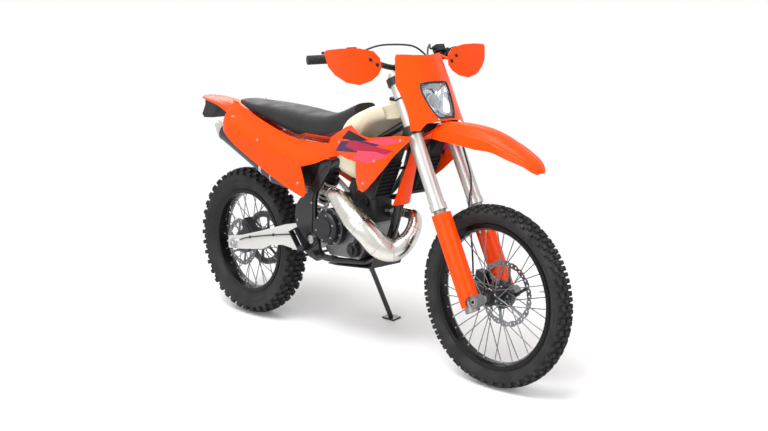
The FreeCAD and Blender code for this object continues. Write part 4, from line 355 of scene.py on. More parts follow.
def inside(tree, x, z, corners):
    """1 inside a convex outline, anticlockwise in mm: the least distance inward from its edges is over 0."""
    least = None
    for (x0, z0), (x1, z1) in zip(corners, corners[1:] + corners[:1]):
        n = np.array([z0 - z1, x1 - x0]) / math.hypot(x1 - x0, z1 - z0)
        along_x = calc(tree, "MULTIPLY_ADD", x, n[0], -(n[0] * x0 + n[1] * z0) * MM)
        depth = calc(tree, "MULTIPLY_ADD", z, n[1], along_x)
        least = depth if least is None else calc(tree, "MINIMUM", least, depth)
    return calc(tree, "GREATER_THAN", least, 0.0)


def lined(material, centre, spacing, depth=0.02):
    """Fine rings round an axle: a bump that follows the distance from it, as facing in a lathe leaves."""
    tree = material.node_tree
    x, _, z = upright_xyz(tree)
    flat = add(tree, "CombineXYZ", X=calc(tree, "SUBTRACT", x, centre[0] * MM),
               Y=calc(tree, "SUBTRACT", z, centre[2] * MM))
    far = add(tree, "VectorMath", {"operation": "LENGTH"}, _0=flat.outputs[0])
    rings = add(tree, "TexNoise", {"noise_dimensions": "1D"}, W=far.outputs["Value"],
                Scale=1 / (spacing * MM), Detail=2.0)
    bumped(material, rings.outputs["Fac"], depth)
    return material


# %% The finishes themselves
ORANGE = "#FC4600"
orange = finish_of("moulded_orange_gloss", ORANGE, 0, 0.32, 0.05, 2.5, 0.012, Specular_IOR_Level=0.16)
orange_print = finish_of("orange_gloss_with_print", ORANGE, 0, 0.3, 0.05, 2.5, 0.012,
                         Specular_IOR_Level=0.15)
black = finish_of("grained_black_plastic", "#0E0E0F", 0, 0.5, 0.08, 0.9, 0.06)
guard_grey = finish_of("grained_dark_grey_plastic", "#1E1E20", 0, 0.5, 0.08, 0.9, 0.06)
powder = finish_of("satin_black_powder_coat", "#0F0F11", 0, 0.32, 0.06, 1.6, 0.03, 0.2)
cast = finish_of("sand_cast_aluminium", "#808080", 0.85, 0.42, 0.08, 0.8, 0.09)
cast_arm = finish_of("blasted_cast_aluminium", "#D2D1CF", 0.55, 0.4, 0.06, 0.7, 0.05)
# Dark grey painted castings. On the water pump parts this finish is painted shade, darker than the crankcase
# round them.
dark_cast_and_painted_shade = finish_of("dark_grey_casting_and_painted_shade", "#242427", 0.4, 0.42, 0.07, 0.8, 0.06)
# The cylinder's dark grey is painted shade: it stands for the shade in the recess under the tank and behind
# the radiators.
cylinder_painted_shade = finish_of("cylinder_casting_painted_shade", "#2A2A2C", 0.5, 0.5, 0.06, 0.8, 0.1)
steel = finish_of("turned_bright_steel", "#BFC0C2", 1.0, 0.26, 0.06)
zinc = finish_of("zinc_plated_fastener", "#B5B6B4", 1.0, 0.34, 0.08)
nickel = finish_of("nickel_plated_pipe", "#D3D0CA", 1.0, 0.26, 0.07, 6.0, 0.02)
pipe_weld = finish_of("pipe_weld_bead", "#ACA69E", 1.0, 0.36, 0.08, 1.4, 0.12)
can_grey = finish_of("brushed_dark_silencer", "#4A4B4E", 0.9, 0.34, 0.06, 0.5, 0.02)
can_end = finish_of("pale_machined_end", "#C9C9C8", 0.9, 0.3, 0.06)
rubber = finish_of("moulded_tyre_rubber", "#101011", 0, 0.74, 0.1, 1.5, 0.08)
grip_rubber = finish_of("soft_grip_rubber", "#131314", 0, 0.66, 0.08, 0.7, 0.06)
hose_rubber = finish_of("smooth_black_hose", "#101011", 0, 0.4, 0.06)
cream = finish_of("natural_polyethylene", "#DAD3B8", 0, 0.36, 0.06, 3.0, 0.02, Subsurface_Weight=0.35,
                  Subsurface_Radius=(0.012, 0.009, 0.005))
seat_cover = finish_of("grained_seat_cover", "#0C0C0D", 0, 0.62, 0.08, 1.1, 0.12)
fork_silver = finish_of("pale_anodised_tube", "#BDBCB9", 0.6, 0.34, 0.05)
rim_black = finish_of("black_anodised_rim", "#0E0E10", 0.6, 0.28, 0.05)
hub_grey = finish_of("grey_anodised_hub", "#48494C", 0.8, 0.36, 0.05)
spoke_steel = finish_of("stainless_spoke", "#77787B", 1.0, 0.3, 0.05)
front_rotor = lined(finish_of("front_rotor_steel", "#85868A", 1.0, 0.3, 0.05), FRONT_AXLE, 0.5)
rear_rotor = lined(finish_of("rear_rotor_steel", "#747578", 1.0, 0.3, 0.05), REAR_AXLE, 0.5)
tooth_steel = lined(finish_of("sprocket_steel", "#55565A", 1.0, 0.34, 0.06), REAR_AXLE, 0.6)
chain_steel = finish_of("oiled_chain_steel", "#6E665A", 1.0, 0.34, 0.08)
spring_white = finish_of("white_coated_spring", "#E9E9E6", 0, 0.28, 0.05, coat=0.4)
mirror = finish_of("vacuum_silvered_reflector", "#D0D2D4", 1.0, 0.12, 0.02)
lens = finish_of("clear_moulded_lens", "#F4F8FB", 0, 0.04, 0.02, Transmission_Weight=1.0, IOR=1.45)
red_lens = finish_of("red_moulded_lens", "#A80F14", 0, 0.12, 0.03, coat=0.4)
screen = finish_of("display_glass", "#20262A", 0, 0.08, 0.02, coat=0.6)
fin_black = finish_of("black_core_fins", "#1C1C1E", 0.5, 0.5, 0.06)
print(len(bpy.data.materials), "finishes")

# %% [markdown]
# ## Printed panels
# The shrouds carry a printed film in plum, crimson and coral on the orange. Here it is five blades swept
# forward, each the inside of a convex outline in the side view, so both sides match and no picture is
# needed. The film runs back over the seat's flank as two blades.

# %% Print on the shrouds and the seat's flanks
BLADES = [
    ("#3E2A4C", [(20, 846), (176, 856), (330, 902), (200, 908), (60, 890)]),
    ("#A3243F", [(96, 872), (300, 846), (400, 884), (250, 896), (130, 906)]),
    ("#E8475A", [(150, 826), (250, 820), (372, 862), (300, 872), (190, 866)]),
    ("#1D1826", [(60, 900), (150, 900), (262, 912), (180, 926), (110, 940)]),
    ("#E8475A", [(250, 904), (350, 900), (448, 926), (360, 930), (290, 920)]),
]
SEAT_BLADES = [
    ("#5A2233", [(-150, 884), (10, 884), (20, 926), (-60, 912)]),
    (ORANGE, [(-330, 872), (-60, 866), (20, 880), (-240, 892)]),
]
FLANK_Y = 62.0
tree = orange_print.node_tree
x, _, z = upright_xyz(tree)
for code, corners in BLADES:
    overlay(orange_print, inside(tree, x, z, corners), code)
tree = seat_cover.node_tree
x, y, z = upright_xyz(tree)
flank = calc(tree, "GREATER_THAN", calc(tree, "ABSOLUTE", y), FLANK_Y * MM)
for code, corners in SEAT_BLADES:
    overlay(seat_cover, calc(tree, "MULTIPLY", inside(tree, x, z, corners), flank), code)
print("print on", [m.name for m in (orange_print, seat_cover)])

# %% [markdown]
# ## Finishes on the frame's own pieces
# Most pieces are one finish. A wheel is one body in the frame, so its faces are told apart by their
# distance from the axle: black rim outside, bright spokes between, grey hub inside. The silencer's end cap
# is told apart by how far back it lies.

# %% Finishes by piece
LOOK = [
    (powder, "frame handlebar side_stand"), (cast_arm, "subframe swingarm"),
    (steel, "pivot_bolt rear_axle front_axle"), (cast, "crankcase fork_legs shift_lever"),
    (dark_cast_and_painted_shade, "clutch_cover ignition_cover footpegs brake_pedal levers triple_clamps"),
    (dark_cast_and_painted_shade, "front_caliper rear_caliper"), (cylinder_painted_shade, "cylinder"), (nickel, "exhaust_pipe"),
    (black, "throttle_body filler_cap airbox tail_bracket instrument chain_guide"), (cream, "fuel_tank"),
    (seat_cover, "seat"), (fin_black, "radiators"), (orange_print, "shroud_left shroud_right"),
    (orange, "side_panel_left side_panel_right rear_fender front_fender fork_guards hand_guards"),
    (orange, "headlight_mask down_tube_cover"), (guard_grey, "skid_plate frame_guards"),
    (tooth_steel, "front_sprocket"), (fork_silver, "fork_tubes"), (grip_rubber, "grips"),
    (hose_rubber, "hoses"),
]


def dress(node, materials):
    """Gives a frame piece its finishes in place of what it came with, and returns its mesh."""
    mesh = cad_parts[node].data
    mesh.materials.clear()
    for material in materials:
        mesh.materials.append(material)
    return mesh


def zoned(node, materials, rule):
    """Several finishes on one frame piece: rule(upright face centres in mm) returns each face's number."""
    mesh = dress(node, materials)
    centres = np.zeros(len(mesh.polygons) * 3)
    mesh.polygons.foreach_get("center", centres)
    back = np.array(LEANED.inverted())
    upright = (centres.reshape(-1, 3) @ back[:3, :3].T + back[:3, 3]) / MM
    mesh.polygons.foreach_set("material_index", rule(upright).astype(np.int32))
    mesh.update()


def wheel_rule(axle, rim_inner, hub_outer):
    """0 beyond the rim's inner edge, 2 within the hub and 1 between, by distance from the axle."""
    def rule(c):
        far = np.hypot(c[:, 0] - axle[0], c[:, 2] - axle[2])
        return np.where(far > rim_inner, 0, np.where(far < hub_outer, 2, 1))
    return rule


for material, nodes in LOOK:
    for node in nodes.split():
        dress(node, [material])
WHEEL_FINISHES = [rim_black, spoke_steel, hub_grey]
zoned("front_wheel", WHEEL_FINISHES, wheel_rule(FRONT_AXLE, 252.5, 55.0))
zoned("rear_wheel", WHEEL_FINISHES, wheel_rule(REAR_AXLE, 214.5, 55.0))
CAN_START = np.array([-336.0, -107.0, 664.0])
CAN_END = np.array([-818.0, -112.0, 876.0])
CAN_LENGTH = np.linalg.norm(CAN_END - CAN_START)
CAN_WAY = (CAN_END - CAN_START) / CAN_LENGTH
CAP_LENGTH = 35.0
zoned("muffler", [can_grey, can_end], lambda c: (c - CAN_START) @ CAN_WAY > CAN_LENGTH - CAP_LENGTH)
print("finished", sum(len(nodes.split()) for _, nodes in LOOK) + 3, "frame pieces")

# %% [markdown]
# ## Tyres
# Off-road tyres are a thin carcass with separate rubber lugs. The carcass is a turned profile: a crown arc
# one lug's height below the tread, then a side wall down to the bead. A lug is a small block bent onto the
# crown: a point v across and d below the tread lies at angle v / crown radius, and one u along turns by
# u / tyre radius. Bending the block by these two angles makes every lug sit square on the round tread.

# %% Tyres
def lug(axle, v, theta, size_u, size_v, height, radius, crown):
    """Three rings of four corners: wide and sunk at the foot, then full, then eased at the top."""
    rings = []
    for depth, grow in ((height + 1.0, 1.22), (1.3, 1.0), (0.0, 0.84)):
        a = theta + np.array([-1, 1, 1, -1]) * size_u / 2 * grow / radius
        p = (v + np.array([-1, -1, 1, 1]) * size_v / 2 * grow) / crown
        r = radius - crown + (crown - depth) * np.cos(p)
        rings.append(around(axle, r, a, (crown - depth) * np.sin(p)))
    return capped(rings)


def tyre_body(axle, radius, half, crown, height, seat, rim_half, pitches, rows):
    """Turned carcass, bead rings and rows of lugs: (v, shift, size_u, size_v), twice if v isn't 0."""
    edge = math.asin(half / crown)
    crown_line = [(radius - crown + (crown - height) * math.cos(p), (crown - height) * math.sin(p))
                  for p in np.linspace(-edge, edge, 15)]
    start, lip = crown_line[-1], (seat + 12.0, rim_half)
    bulge = (0.5 * (start[0] + lip[0]), half - 3.0)
    t = np.linspace(0, 1, 10)[1:, None]
    wall = (1 - t) ** 2 * start + 2 * t * (1 - t) * np.array(bulge) + t ** 2 * np.array(lip)
    left = wall.tolist() + [(seat + 1.0, rim_half - 0.4)]
    parts = [turned([(r, -y) for r, y in reversed(left)] + crown_line + left, axle, 144)]
    for share in (0.3, 0.86):
        r, y = wall[int(share * (len(wall) - 1))]
        for side in (-1, 1):
            foot = side * (y - 0.8)
            parts.append(turned([(r - 1.6, foot), (r, side * (y + 0.9)), (r + 1.6, foot)], axle, 144))
    for k in range(pitches):
        for v, shift, size_u, size_v in rows:
            for side in (-1, 1) if v else (1,):
                theta = 2 * math.pi * (k + shift) / pitches
                parts.append(lug(axle, side * v, theta, size_u, size_v, height, radius - 0.2, crown))
    return merged(parts)


FRONT_ROWS = [(9, 0, 13, 13), (27, 0.5, 17, 13), (43, 0, 15, 12), (0, 0.5, 12, 15)]
REAR_ROWS = [(12, 0, 17, 17), (36, 0.5, 19, 17), (57, 0, 18, 15), (0, 0.5, 16, 20)]
front_tyre = piece("front_tyre_lugged", tyre_body(
    FRONT_AXLE, FRONT_RADIUS, FRONT_HALF, FRONT_CROWN, 12.0, 266.7, 20.3, 46, FRONT_ROWS),
    rubber, "front_wheel_set")
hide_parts("front_tyre")
rear_tyre = piece("rear_tyre_lugged", tyre_body(
    REAR_AXLE, REAR_RADIUS, REAR_HALF, REAR_CROWN, 15.0, 228.6, 27.3, 40, REAR_ROWS),
    rubber, "rear_wheel_set")
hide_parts("rear_tyre")

# %% [markdown]
# ## Wheels' small parts
# Each spoke ends in a nipple at the rim and a bent head at the hub flange. They follow the frame's own
# spokes: thirty-six rim places, each laced to a flange place a fixed angle away, left and right in turn.

# %% Nipples and valve stems
SPOKES, LACING, VALVE_ANGLE = 36, math.radians(52.0), 0.26


def nipples(axle, rim_inner, flange_radius, flange_y):
    """Nipple and head on each spoke's own line from rim to flange, and the valve's stem."""
    parts = []
    for i in range(SPOKES):
        side = 1 if i % 2 else -1
        a = 2 * math.pi * i / SPOKES
        b = a + LACING * (1 if (i // 2) % 2 else -1)
        rim_point = around(axle, rim_inner, a, side * 6.0)
        hub_point = around(axle, flange_radius, b, side * flange_y)
        way = (hub_point - rim_point) / np.linalg.norm(hub_point - rim_point)
        parts.append(swept([rim_point + way * k for k in (-1, 4, 9, 10)], [3.4, 3.4, 3.0, 2.2], 8))
        parts.append(swept([hub_point - way * 7, hub_point + way * 1.5], 2.9, 8))
    out = around(axle, rim_inner, VALVE_ANGLE, 0.0)
    inward = (axle - out) / np.linalg.norm(axle - out)
    parts.append(swept([out + inward * k for k in (0, 14, 15, 34)], [5.5, 5.5, 3.2, 3.2], 10))
    return parts


piece("front_nipples", nipples(FRONT_AXLE, 253.7, 30.0, 34.0), zinc, "front_wheel_set")
piece("rear_nipples", nipples(REAR_AXLE, 215.6, 39.0, 36.0), zinc, "rear_wheel_set")

# %% [markdown]
# ## Wave discs
# A trail disc has a scalloped edge and rows of drilled holes. Its track is a ring of equal tiles, each a
# square with a round hole: between the hole's circle and the square's edge lie straight grid lines, and the
# square maps to the ring by radius and angle, so the hole stays a real hole with two faces and a bore.

# %% Brake discs
DISC_THICK, WAVE, HOLE_SHARE, HOLE_SIDES = 3.6, 4.0, 0.42, 16
FRONT_DISC_Y, REAR_DISC_Y = 58.0, -62.0


def drilled_track(axle, y, inner, outer, tiles):
    """Tile coordinates (s, t) from -1 to 1 become angle and a radius between two wavy edges."""
    a = once_round(HOLE_SIDES) + math.pi / HOLE_SIDES
    unit = np.stack([np.cos(a), np.sin(a)], -1)
    hole, square = unit * HOLE_SHARE, unit / np.abs(unit).max(1)[:, None]
    middle = hole * 0.6 + square * 0.4
    loops = np.array([square, middle, hole, hole, middle, square])
    heights = y + np.array([-1, -1, -1, 1, 1, 1])[:, None] * DISC_THICK / 2
    s, t = loops[..., 0], loops[..., 1]
    parts = []
    for k in range(tiles):
        angle = 2 * math.pi * (k + 0.5 + s / 2) / tiles
        scallop = WAVE * (0.5 + 0.5 * np.cos(angle * tiles / 2))
        high, low = outer - scallop, inner + scallop
        r = (low + high) / 2 + t * (high - low) / 2
        parts.append(looped(around(axle, r, angle, heights)))
    return merged(parts)


def carrier(axle, y, hub_radius, track_radius, thick, lean_angle, arms=6):
    """A ring round the hub and arms that lean forward out to the track."""
    parts = [flat_ring(axle + [0, y, 0], hub_radius, hub_radius + 11, -thick / 2, thick / 2, 48)]
    face = [0, math.copysign(thick / 2, y), 0]
    for k in range(arms):
        a = 2 * math.pi * k / arms
        start, end = around(axle, hub_radius + 5, a, y), around(axle, track_radius, a + lean_angle, y)
        side = np.cross((end - start) / np.linalg.norm(end - start), [0, 1.0, 0])
        rings = []
        for share, width in ((0.0, 8.0), (0.5, 5.0), (1.0, 7.0)):
            c = start + (end - start) * share
            rings.append([c + side * width * w + [0, h * thick / 2, 0]
                          for w, h in ((1, -1), (1, 1), (-1, 1), (-1, -1))])
        parts += [capped(rings), disc_body(end + face, [0, y, 0], 5.0, 0.7, 12),
                  bolt(start + face, [0, y, 0], 5.5, 3.0)]
    return merged(parts)


front_disc = piece("front_disc_waved", [
    drilled_track(FRONT_AXLE, FRONT_DISC_Y, 106.0, 129.6, 36),
    carrier(FRONT_AXLE, FRONT_DISC_Y, 42.0, 108.0, DISC_THICK, 0.35)],
    front_rotor, "front_wheel_set")
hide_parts("front_disc")
rear_disc = piece("rear_disc_waved", [
    drilled_track(REAR_AXLE, REAR_DISC_Y, 86.0, 109.6, 32),
    carrier(REAR_AXLE, REAR_DISC_Y, 42.0, 88.0, DISC_THICK, -0.35)],
    rear_rotor, "rear_wheel_set")
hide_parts("rear_disc")

# %% [markdown]
# ## Chain and sprockets
# The chain is a closed row of links, inner and outer plates in turn, with a roller at each pin. The loop is
# two tangent lines and two arcs; walking it in equal steps of about one pitch gives each pin's place, and a
# plate spans two pins: a figure of eight whose waist is narrower than its ends.

# %% Chain
PITCH = 15.875
FRONT_TEETH, REAR_TEETH = 13, 48
FRONT_PITCH_RADIUS = FRONT_TEETH * PITCH / (2 * math.pi)
REAR_PITCH_RADIUS = REAR_TEETH * PITCH / (2 * math.pi)
CHAIN_Y = 75.0
SHAFT = np.array([-92.0, CHAIN_Y, 446.0])
HUB = REAR_AXLE + [0, CHAIN_Y, 0]
PLATE_RADIUS, PLATE_WAIST = 6.7, 4.6


def chain_pins():
    """Pins at equal steps of arc length along the loop."""
    along = SHAFT - HUB
    heading = math.atan2(along[2], along[0])
    wide = math.acos((REAR_PITCH_RADIUS - FRONT_PITCH_RADIUS) / np.linalg.norm(along))
    a = np.linspace(heading + wide, heading + 2 * math.pi - wide, 200)
    b = np.linspace(heading - wide, heading + wide, 100)
    rear = around(HUB, REAR_PITCH_RADIUS, a, 0.0)
    front = around(SHAFT, FRONT_PITCH_RADIUS, b, 0.0)
    loop = np.vstack([rear, front, rear[:1]])
    run = np.concatenate([[0], np.cumsum(np.linalg.norm(np.diff(loop, axis=0), axis=1))])
    count = 2 * round(run[-1] / PITCH / 2)
    at = np.arange(count) * run[-1] / count
    return np.column_stack([np.interp(at, run, loop[:, k]) for k in range(3)])


def link_plate(start, end, y_low, y_high):
    """A figure of eight in the chain's plane, given thickness across it."""
    length = np.linalg.norm(end - start)
    way = (end - start) / length
    up = np.cross(way, [0, 1.0, 0])
    half_turn = np.linspace(-0.5 * math.pi, 0.5 * math.pi, 6)
    round_end = [(PLATE_RADIUS * math.cos(t), PLATE_RADIUS * math.sin(t)) for t in half_turn]
    flat = [(length + s, t) for s, t in round_end] + [(length / 2, PLATE_WAIST)]
    flat += [(-s, -t) for s, t in round_end] + [(length / 2, -PLATE_WAIST)]
    ring = np.array([start + way * s + up * t for s, t in flat])
    return capped([ring + [0, y_low, 0], ring + [0, y_high, 0]])


pins = chain_pins()
parts = []
for k, pin in enumerate(pins):
    for reach, radius, sides in ((7.4, 2.6, 8), (3.8, 5.0, 12)):
        parts.append(swept([pin - [0, reach, 0], pin + [0, reach, 0]], radius, sides))
    low, high = (6.0, 7.2) if k % 2 else (4.2, 5.7)
    for side in (-1, 1):
        parts.append(link_plate(pin, pins[(k + 1) % len(pins)], side * low, side * high))
chain = piece("chain_links", parts, chain_steel, "chassis")
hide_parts("chain")
print(len(pins), "pins")


# %% Sprockets
SPROCKET_THICK = 6.0


def toothed(centre, pitch_radius, teeth, inner):
    """Radius over the angle: root plus the tooth's height times a rounded wave that starts at a pin."""
    near = pins[np.argmin(np.abs(np.linalg.norm(pins - centre, axis=1) - pitch_radius))] - centre
    a = once_round(teeth * 12)
    wave = 0.5 - 0.5 * np.cos(teeth * (a - math.atan2(near[2], near[0])))
    r = pitch_radius - 5.2 + 9.6 * wave ** 1.3
    half = SPROCKET_THICK / 2
    tip = half - np.where(wave > 0.75, 1.2, 0.0)
    section = [(inner, -half), (r - 3.0, -half), (r, -tip), (r, tip), (r - 3.0, half), (inner, half)]
    return looped([around(centre, radius, a, y) for radius, y in section])


sprocket = piece("rear_sprocket_toothed", [
    toothed(HUB, REAR_PITCH_RADIUS, REAR_TEETH, 98.0),
    carrier(REAR_AXLE, CHAIN_Y, 40.0, 101.0, SPROCKET_THICK, 0.3)],
    tooth_steel, "rear_wheel_set")
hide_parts("rear_sprocket")
small = piece("front_sprocket_toothed", [
    toothed(SHAFT, FRONT_PITCH_RADIUS, FRONT_TEETH, 12.2),
    bolt(SHAFT + [0, 7.0, 0], [0, 1.0, 0], 15.0, 5.0)], tooth_steel, "chassis")
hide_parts("front_sprocket")

# %% [markdown]
# ## Bodywork surfaces
# Bolts must lie on curved panels, so the panels' own rules are written again here: a shroud swells forward
# by a quarter sine and tucks in at its nose; a side panel is widest low down and drawn in on top. The slope
# of the rule, taken over one millimetre each way, gives the outward direction at any point.

# %% Panel rules and bolts on them
def shroud_y(x, z):
    """Half width over a shroud: a quarter sine forward, less a squared tuck and a squared height."""
    along = min(max((x - 26.0) / 463.0, 0.0), 1.0)
    tuck = max(0.0, along - 0.7) / 0.3
    swell = math.sin(min(along / 0.62, 1.0) * math.pi / 2)
    return 152 + 42 * swell - 16 * tuck ** 2 - 0.0012 * (z - 840) ** 2


def eased(t):
    """0 to 1 with level ends: t squared times (3 - 2 t)."""
    t = min(max(t, 0.0), 1.0)
    return t * t * (3 - 2 * t)


def side_y(x, z):
    """Half width over a side panel: eased from its top's to its lower edge's in 90 mm below the crease."""
    low = 168 - 28 * eased((-680 - x) / 110) - 24 * eased((x + 250) / 300)
    top = 118 - 26 * eased((-420 - x) / 330) + 26 * eased((x + 200) / 300)
    crease = np.interp(x, [-752, -532, -258, 150], [999, 932, 866, 866])
    return top + (low - top) * eased((crease - z) / 90)


def on_panel(rule, x, z, side):
    """The point on a panel and its outward direction, from the rule's slope each way."""
    slope_x = (rule(x + 1, z) - rule(x - 1, z)) / 2
    slope_z = (rule(x, z + 1) - rule(x, z - 1)) / 2
    n = np.array([-slope_x, 1.0, -slope_z])
    return np.array([x, side * rule(x, z), z]), n * [1, side, 1] / np.linalg.norm(n)


SHROUD_BOLTS = [(290, 836), (44, 884), (206, 738), (420, 925)]
SIDE_PANEL_BOLTS = [(-480, 846), (-206, 690), (-690, 930)]
parts = []
for side in (-1, 1):
    for rule, places in ((shroud_y, SHROUD_BOLTS), (side_y, SIDE_PANEL_BOLTS)):
        for x, z in places:
            p, n = on_panel(rule, x, z, side)
            parts += [disc_body(p + n * 0.2, n, 10.0, 1.4), bolt(p + n * 1.4, n, 6.0, 3.4)]
piece("panel_bolts", parts, zinc, "chassis")

# %% [markdown]
# ## Radiators
# Behind each shroud sits a finned core with moulded slats in front of it that turn stones and mud away. The
# slats are thin blocks on the core's own tilted axes. A cross hose joins the two cores behind the down tube
# and a second hose leads from the cylinder head to the left core.

# %% Radiator fins, slats and coolant hoses
FIN_SPACING = 3.2
tree = fin_black.node_tree
_, _, z = upright_xyz(tree)
wave = calc(tree, "SINE", calc(tree, "MULTIPLY", z, 2 * math.pi / (FIN_SPACING * MM)))
bumped(fin_black, wave, 0.4)
CORE = np.array([272.0, 0.0, 792.0])
CORE_TILT, SLAT_TILT = math.radians(24.0), math.radians(38.0)


def tilted(angle, x_axis=np.array([1.0, 0, 0]), z_axis=np.array([0, 0, 1.0])):
    """Two axes turned about Y: x cos a + z sin a and z cos a - x sin a, with Y between them."""
    c, s = math.cos(angle), math.sin(angle)
    return np.array([x_axis * c + z_axis * s, [0, 1.0, 0], z_axis * c - x_axis * s])


core_axes = tilted(-CORE_TILT)
core_x, _, core_z = core_axes
parts = []
for side in (-1, 1):
    for h in range(-108, 40, 18):
        parts.append(block(CORE + core_x * 22.0 + core_z * h + [0, side * 111.0, 0], (13.0, 92.0, 2.2), 0.6,
                           tilted(SLAT_TILT, core_x, core_z)))
    for y in (66.5, 155.5):
        parts.append(block(CORE + core_x * 20.0 - core_z * 34 + [0, side * y, 0], (9.0, 4.0, 152.0), 0.8,
                           core_axes))
piece("radiator_slats", parts, black, "chassis")
HEAD_HOSE = [(150, 14, 668), (170, 30, 690), (196, 48, 740), (226, 58, 790), (262, 70, 806)]
CROSS_HOSE = [(224, 84, 690), (212, 48, 672), (208, 0, 664), (212, -48, 672), (224, -84, 690)]
CLIPS = [((160, 22, 678), (20, 16, 22)), ((250, 66, 802), (36, 12, 16)), ((219, 68, 683), (12, 36, 18))]
parts = [swept(curved(HEAD_HOSE), 12.0, 14), swept(curved(CROSS_HOSE), 11.0, 14)]
for place, way in CLIPS:
    half = 4 * np.array(way) / np.linalg.norm(way)
    parts.append(swept([place - half, place + half], 13.2, 16))
piece("coolant_hoses", parts, hose_rubber, "chassis")

# %% [markdown]
# ## Engine dress
# The covers are held by rings of small screws and the head by six nuts round a plug with its cap and lead.
# The valve housings, filler plug, water pump and intake clamps are round bodies set on the castings.

# %% Engine covers, head and intake
CLUTCH_X, CLUTCH_Z, CYLINDER_X, INTAKE_Z = -64.0, 516.0, 86.0, 634.0
LEFT, RIGHT, UP = (0, 1, 0), (0, -1, 0), (0, 0, 1)
CASE_BOLTS = [(-110, 470), (-100, 405), (0, 398), (80, 404), (118, 470), (120, 530), (30, 545)]
COVER_SPAN = (-146, 20)


def ring_of_bolts(centre, normal, radius, count, size, height, start=0.0):
    """Bolts at equal angles round a centre, from a start angle."""
    _, s, u = basis(normal)
    places = centre + radius * circle(start + once_round(count), s, u)
    return [bolt(place, normal, size, height) for place in places]


parts = ring_of_bolts((CLUTCH_X, -122.3, CLUTCH_Z), RIGHT, 71.0, 9, 4.6, 4.0)
parts += ring_of_bolts((CLUTCH_X, -146.3, CLUTCH_Z), RIGHT, 54.0, 6, 4.4, 3.0, 0.3)
parts += ring_of_bolts((74.0, 104.3, 462.0), LEFT, 52.0, 6, 4.4, 3.6)
parts += ring_of_bolts((CYLINDER_X, 0.0, 702.3), UP, 46.0, 6, 6.0, 7.0)
for x, z in CASE_BOLTS:
    parts.append(bolt((x, 60.0, z), LEFT, 5.0, 5.0))
    if not COVER_SPAN[0] < x < COVER_SPAN[1]:
        parts.append(bolt((x, -88.0, z), RIGHT, 5.0, 5.0))
piece("engine_bolts", parts, zinc, "chassis")
piece("clutch_ring", [
    flat_ring((CLUTCH_X, 0, CLUTCH_Z), 76.0, 79.5, -121.5, -116.0, 72),
    disc_body((6.0, -88.2, 548.0), RIGHT, 13.0, 12.0, 20)], cast, "chassis")
# The water pump parts take the dark casting finish as painted shade low at the engine's front.
piece("pump_and_clutch_cap", [
    disc_body((CLUTCH_X, -146.5, CLUTCH_Z), RIGHT, 40.0, 4.0, 48),
    disc_body((66.0, -88.2, 436.0), RIGHT, 31.0, 26.0, 40),
    disc_body((66.0, -114.0, 436.0), RIGHT, 16.0, 10.0, 32),
    swept(curved([(66, -100, 448), (84, -104, 478), (104, -92, 520), (118, -60, 556)]), 9.0, 12),
], dark_cast_and_painted_shade, "chassis")
parts = [
    swept([(86, 0, 716), (86, 0, 744), (86, 0, 750), (86, -4, 760)], [9.5, 9.5, 8.0, 6.0], 14),
    swept(curved([(86, -4, 758), (80, -18, 776), (56, -34, 788), (20, -40, 790)]), 3.6, 8),
    disc_body((92.0, 56.2, INTAKE_Z), LEFT, 20.0, 15.0, 28),
    disc_body((92.0, -56.2, INTAKE_Z), RIGHT, 20.0, 11.0, 28),
    swept([(-8, 0, INTAKE_Z), (-8, 0, 660), (-8, 0, 664)], [19.0, 19.0, 13.0], 20),
    swept(curved([(-8, 0, 664), (-4, -6, 690), (30, -30, 760), (60, -44, 800)]), 3.0, 8),
]
for x, radius in ((24.0, 28.4), (-50.0, 28.4), (-66.0, 35.2)):
    parts.append(swept([(x - 4, 0, 612), (x + 4, 0, 612)], radius, 32))
piece("plug_and_intake", parts, hose_rubber, "chassis")

# %% [markdown]
# ## Expansion chamber seams
# The pipe is rolled from cones that are welded together, so a bead runs round it wherever the cone angle
# changes. Each bead is a thin ring square to the pipe's run at a known point of its centre line, a little
# larger than the pipe there. Springs pull the pipe onto the cylinder.

# %% Weld beads and pipe springs
RUN = np.array([
    (156, 30, 594, 20), (176, 31.6, 594, 20), (222, 50, 594, 22), (262, 52, 582, 27), (284, 26, 536, 31),
    (280, -10, 490, 38), (247, -54, 457, 46), (210, -102, 482, 50), (184, -125, 522, 50),
    (157, -143, 553, 50), (116, -147, 583, 48), (64, -141, 615, 42), (13, -130, 642, 37),
    (-46, -112, 656, 29), (-106, -84, 652, 20), (-160, -72, 650, 15), (-220, -70, 650, 14),
    (-284, -88, 656, 14),
])
PER_SPAN = 12
line = curved(RUN[:, :3], PER_SPAN)
radii = np.interp(np.arange(len(line)), np.arange(len(RUN)) * PER_SPAN, RUN[:, 3])
t, n, b = frames_along(line)
a = once_round(64)
ripple = 0.25 * np.cos(a * 30)[:, None]
parts = []
for k in (2, 4, 5, 6, 7, 9, 10, 11, 12, 13, 14):
    at = k * PER_SPAN
    ring = circle(a, n[at], b[at])
    parts.append(looped([line[at] + ring * (radii[at] + h + ripple) + t[at] * w
                         for h, w in ((-0.6, -2.2), (0.9, 0), (-0.6, 2.2))]))
piece("pipe_beads", parts, pipe_weld, "chassis", 60)


def coil(start, end, radius, wire, turns, sides=6):
    """A helix between two points: radius times (cos, sin) of an angle that grows evenly along the way."""
    way = np.asarray(end, float) - start
    _, s, u = basis(way)
    k = np.linspace(0, 1, int(turns * 20))
    return swept(start + np.outer(k, way) + radius * circle(2 * math.pi * turns * k, s, u), wire, sides)


parts = [coil((146.0, 30 + s * 27.0, 600.0), (204.0, 38 + s * 24.0, 600.0), 4.6, 1.1, 12) for s in (-1, 1)]
piece("pipe_springs", parts, zinc, "chassis")

# %% [markdown]
# ## Silencer
# The can is held by a strap and closed by a riveted end piece with a turned outlet.

# %% Silencer strap, rivets and outlet
side = np.array([0, 1.0, 0]) - CAN_WAY * CAN_WAY[1]
side /= np.linalg.norm(side)
up = np.cross(side, CAN_WAY)
a = once_round(72)
oval = circle(a, side * 38.0, up * 46.0)


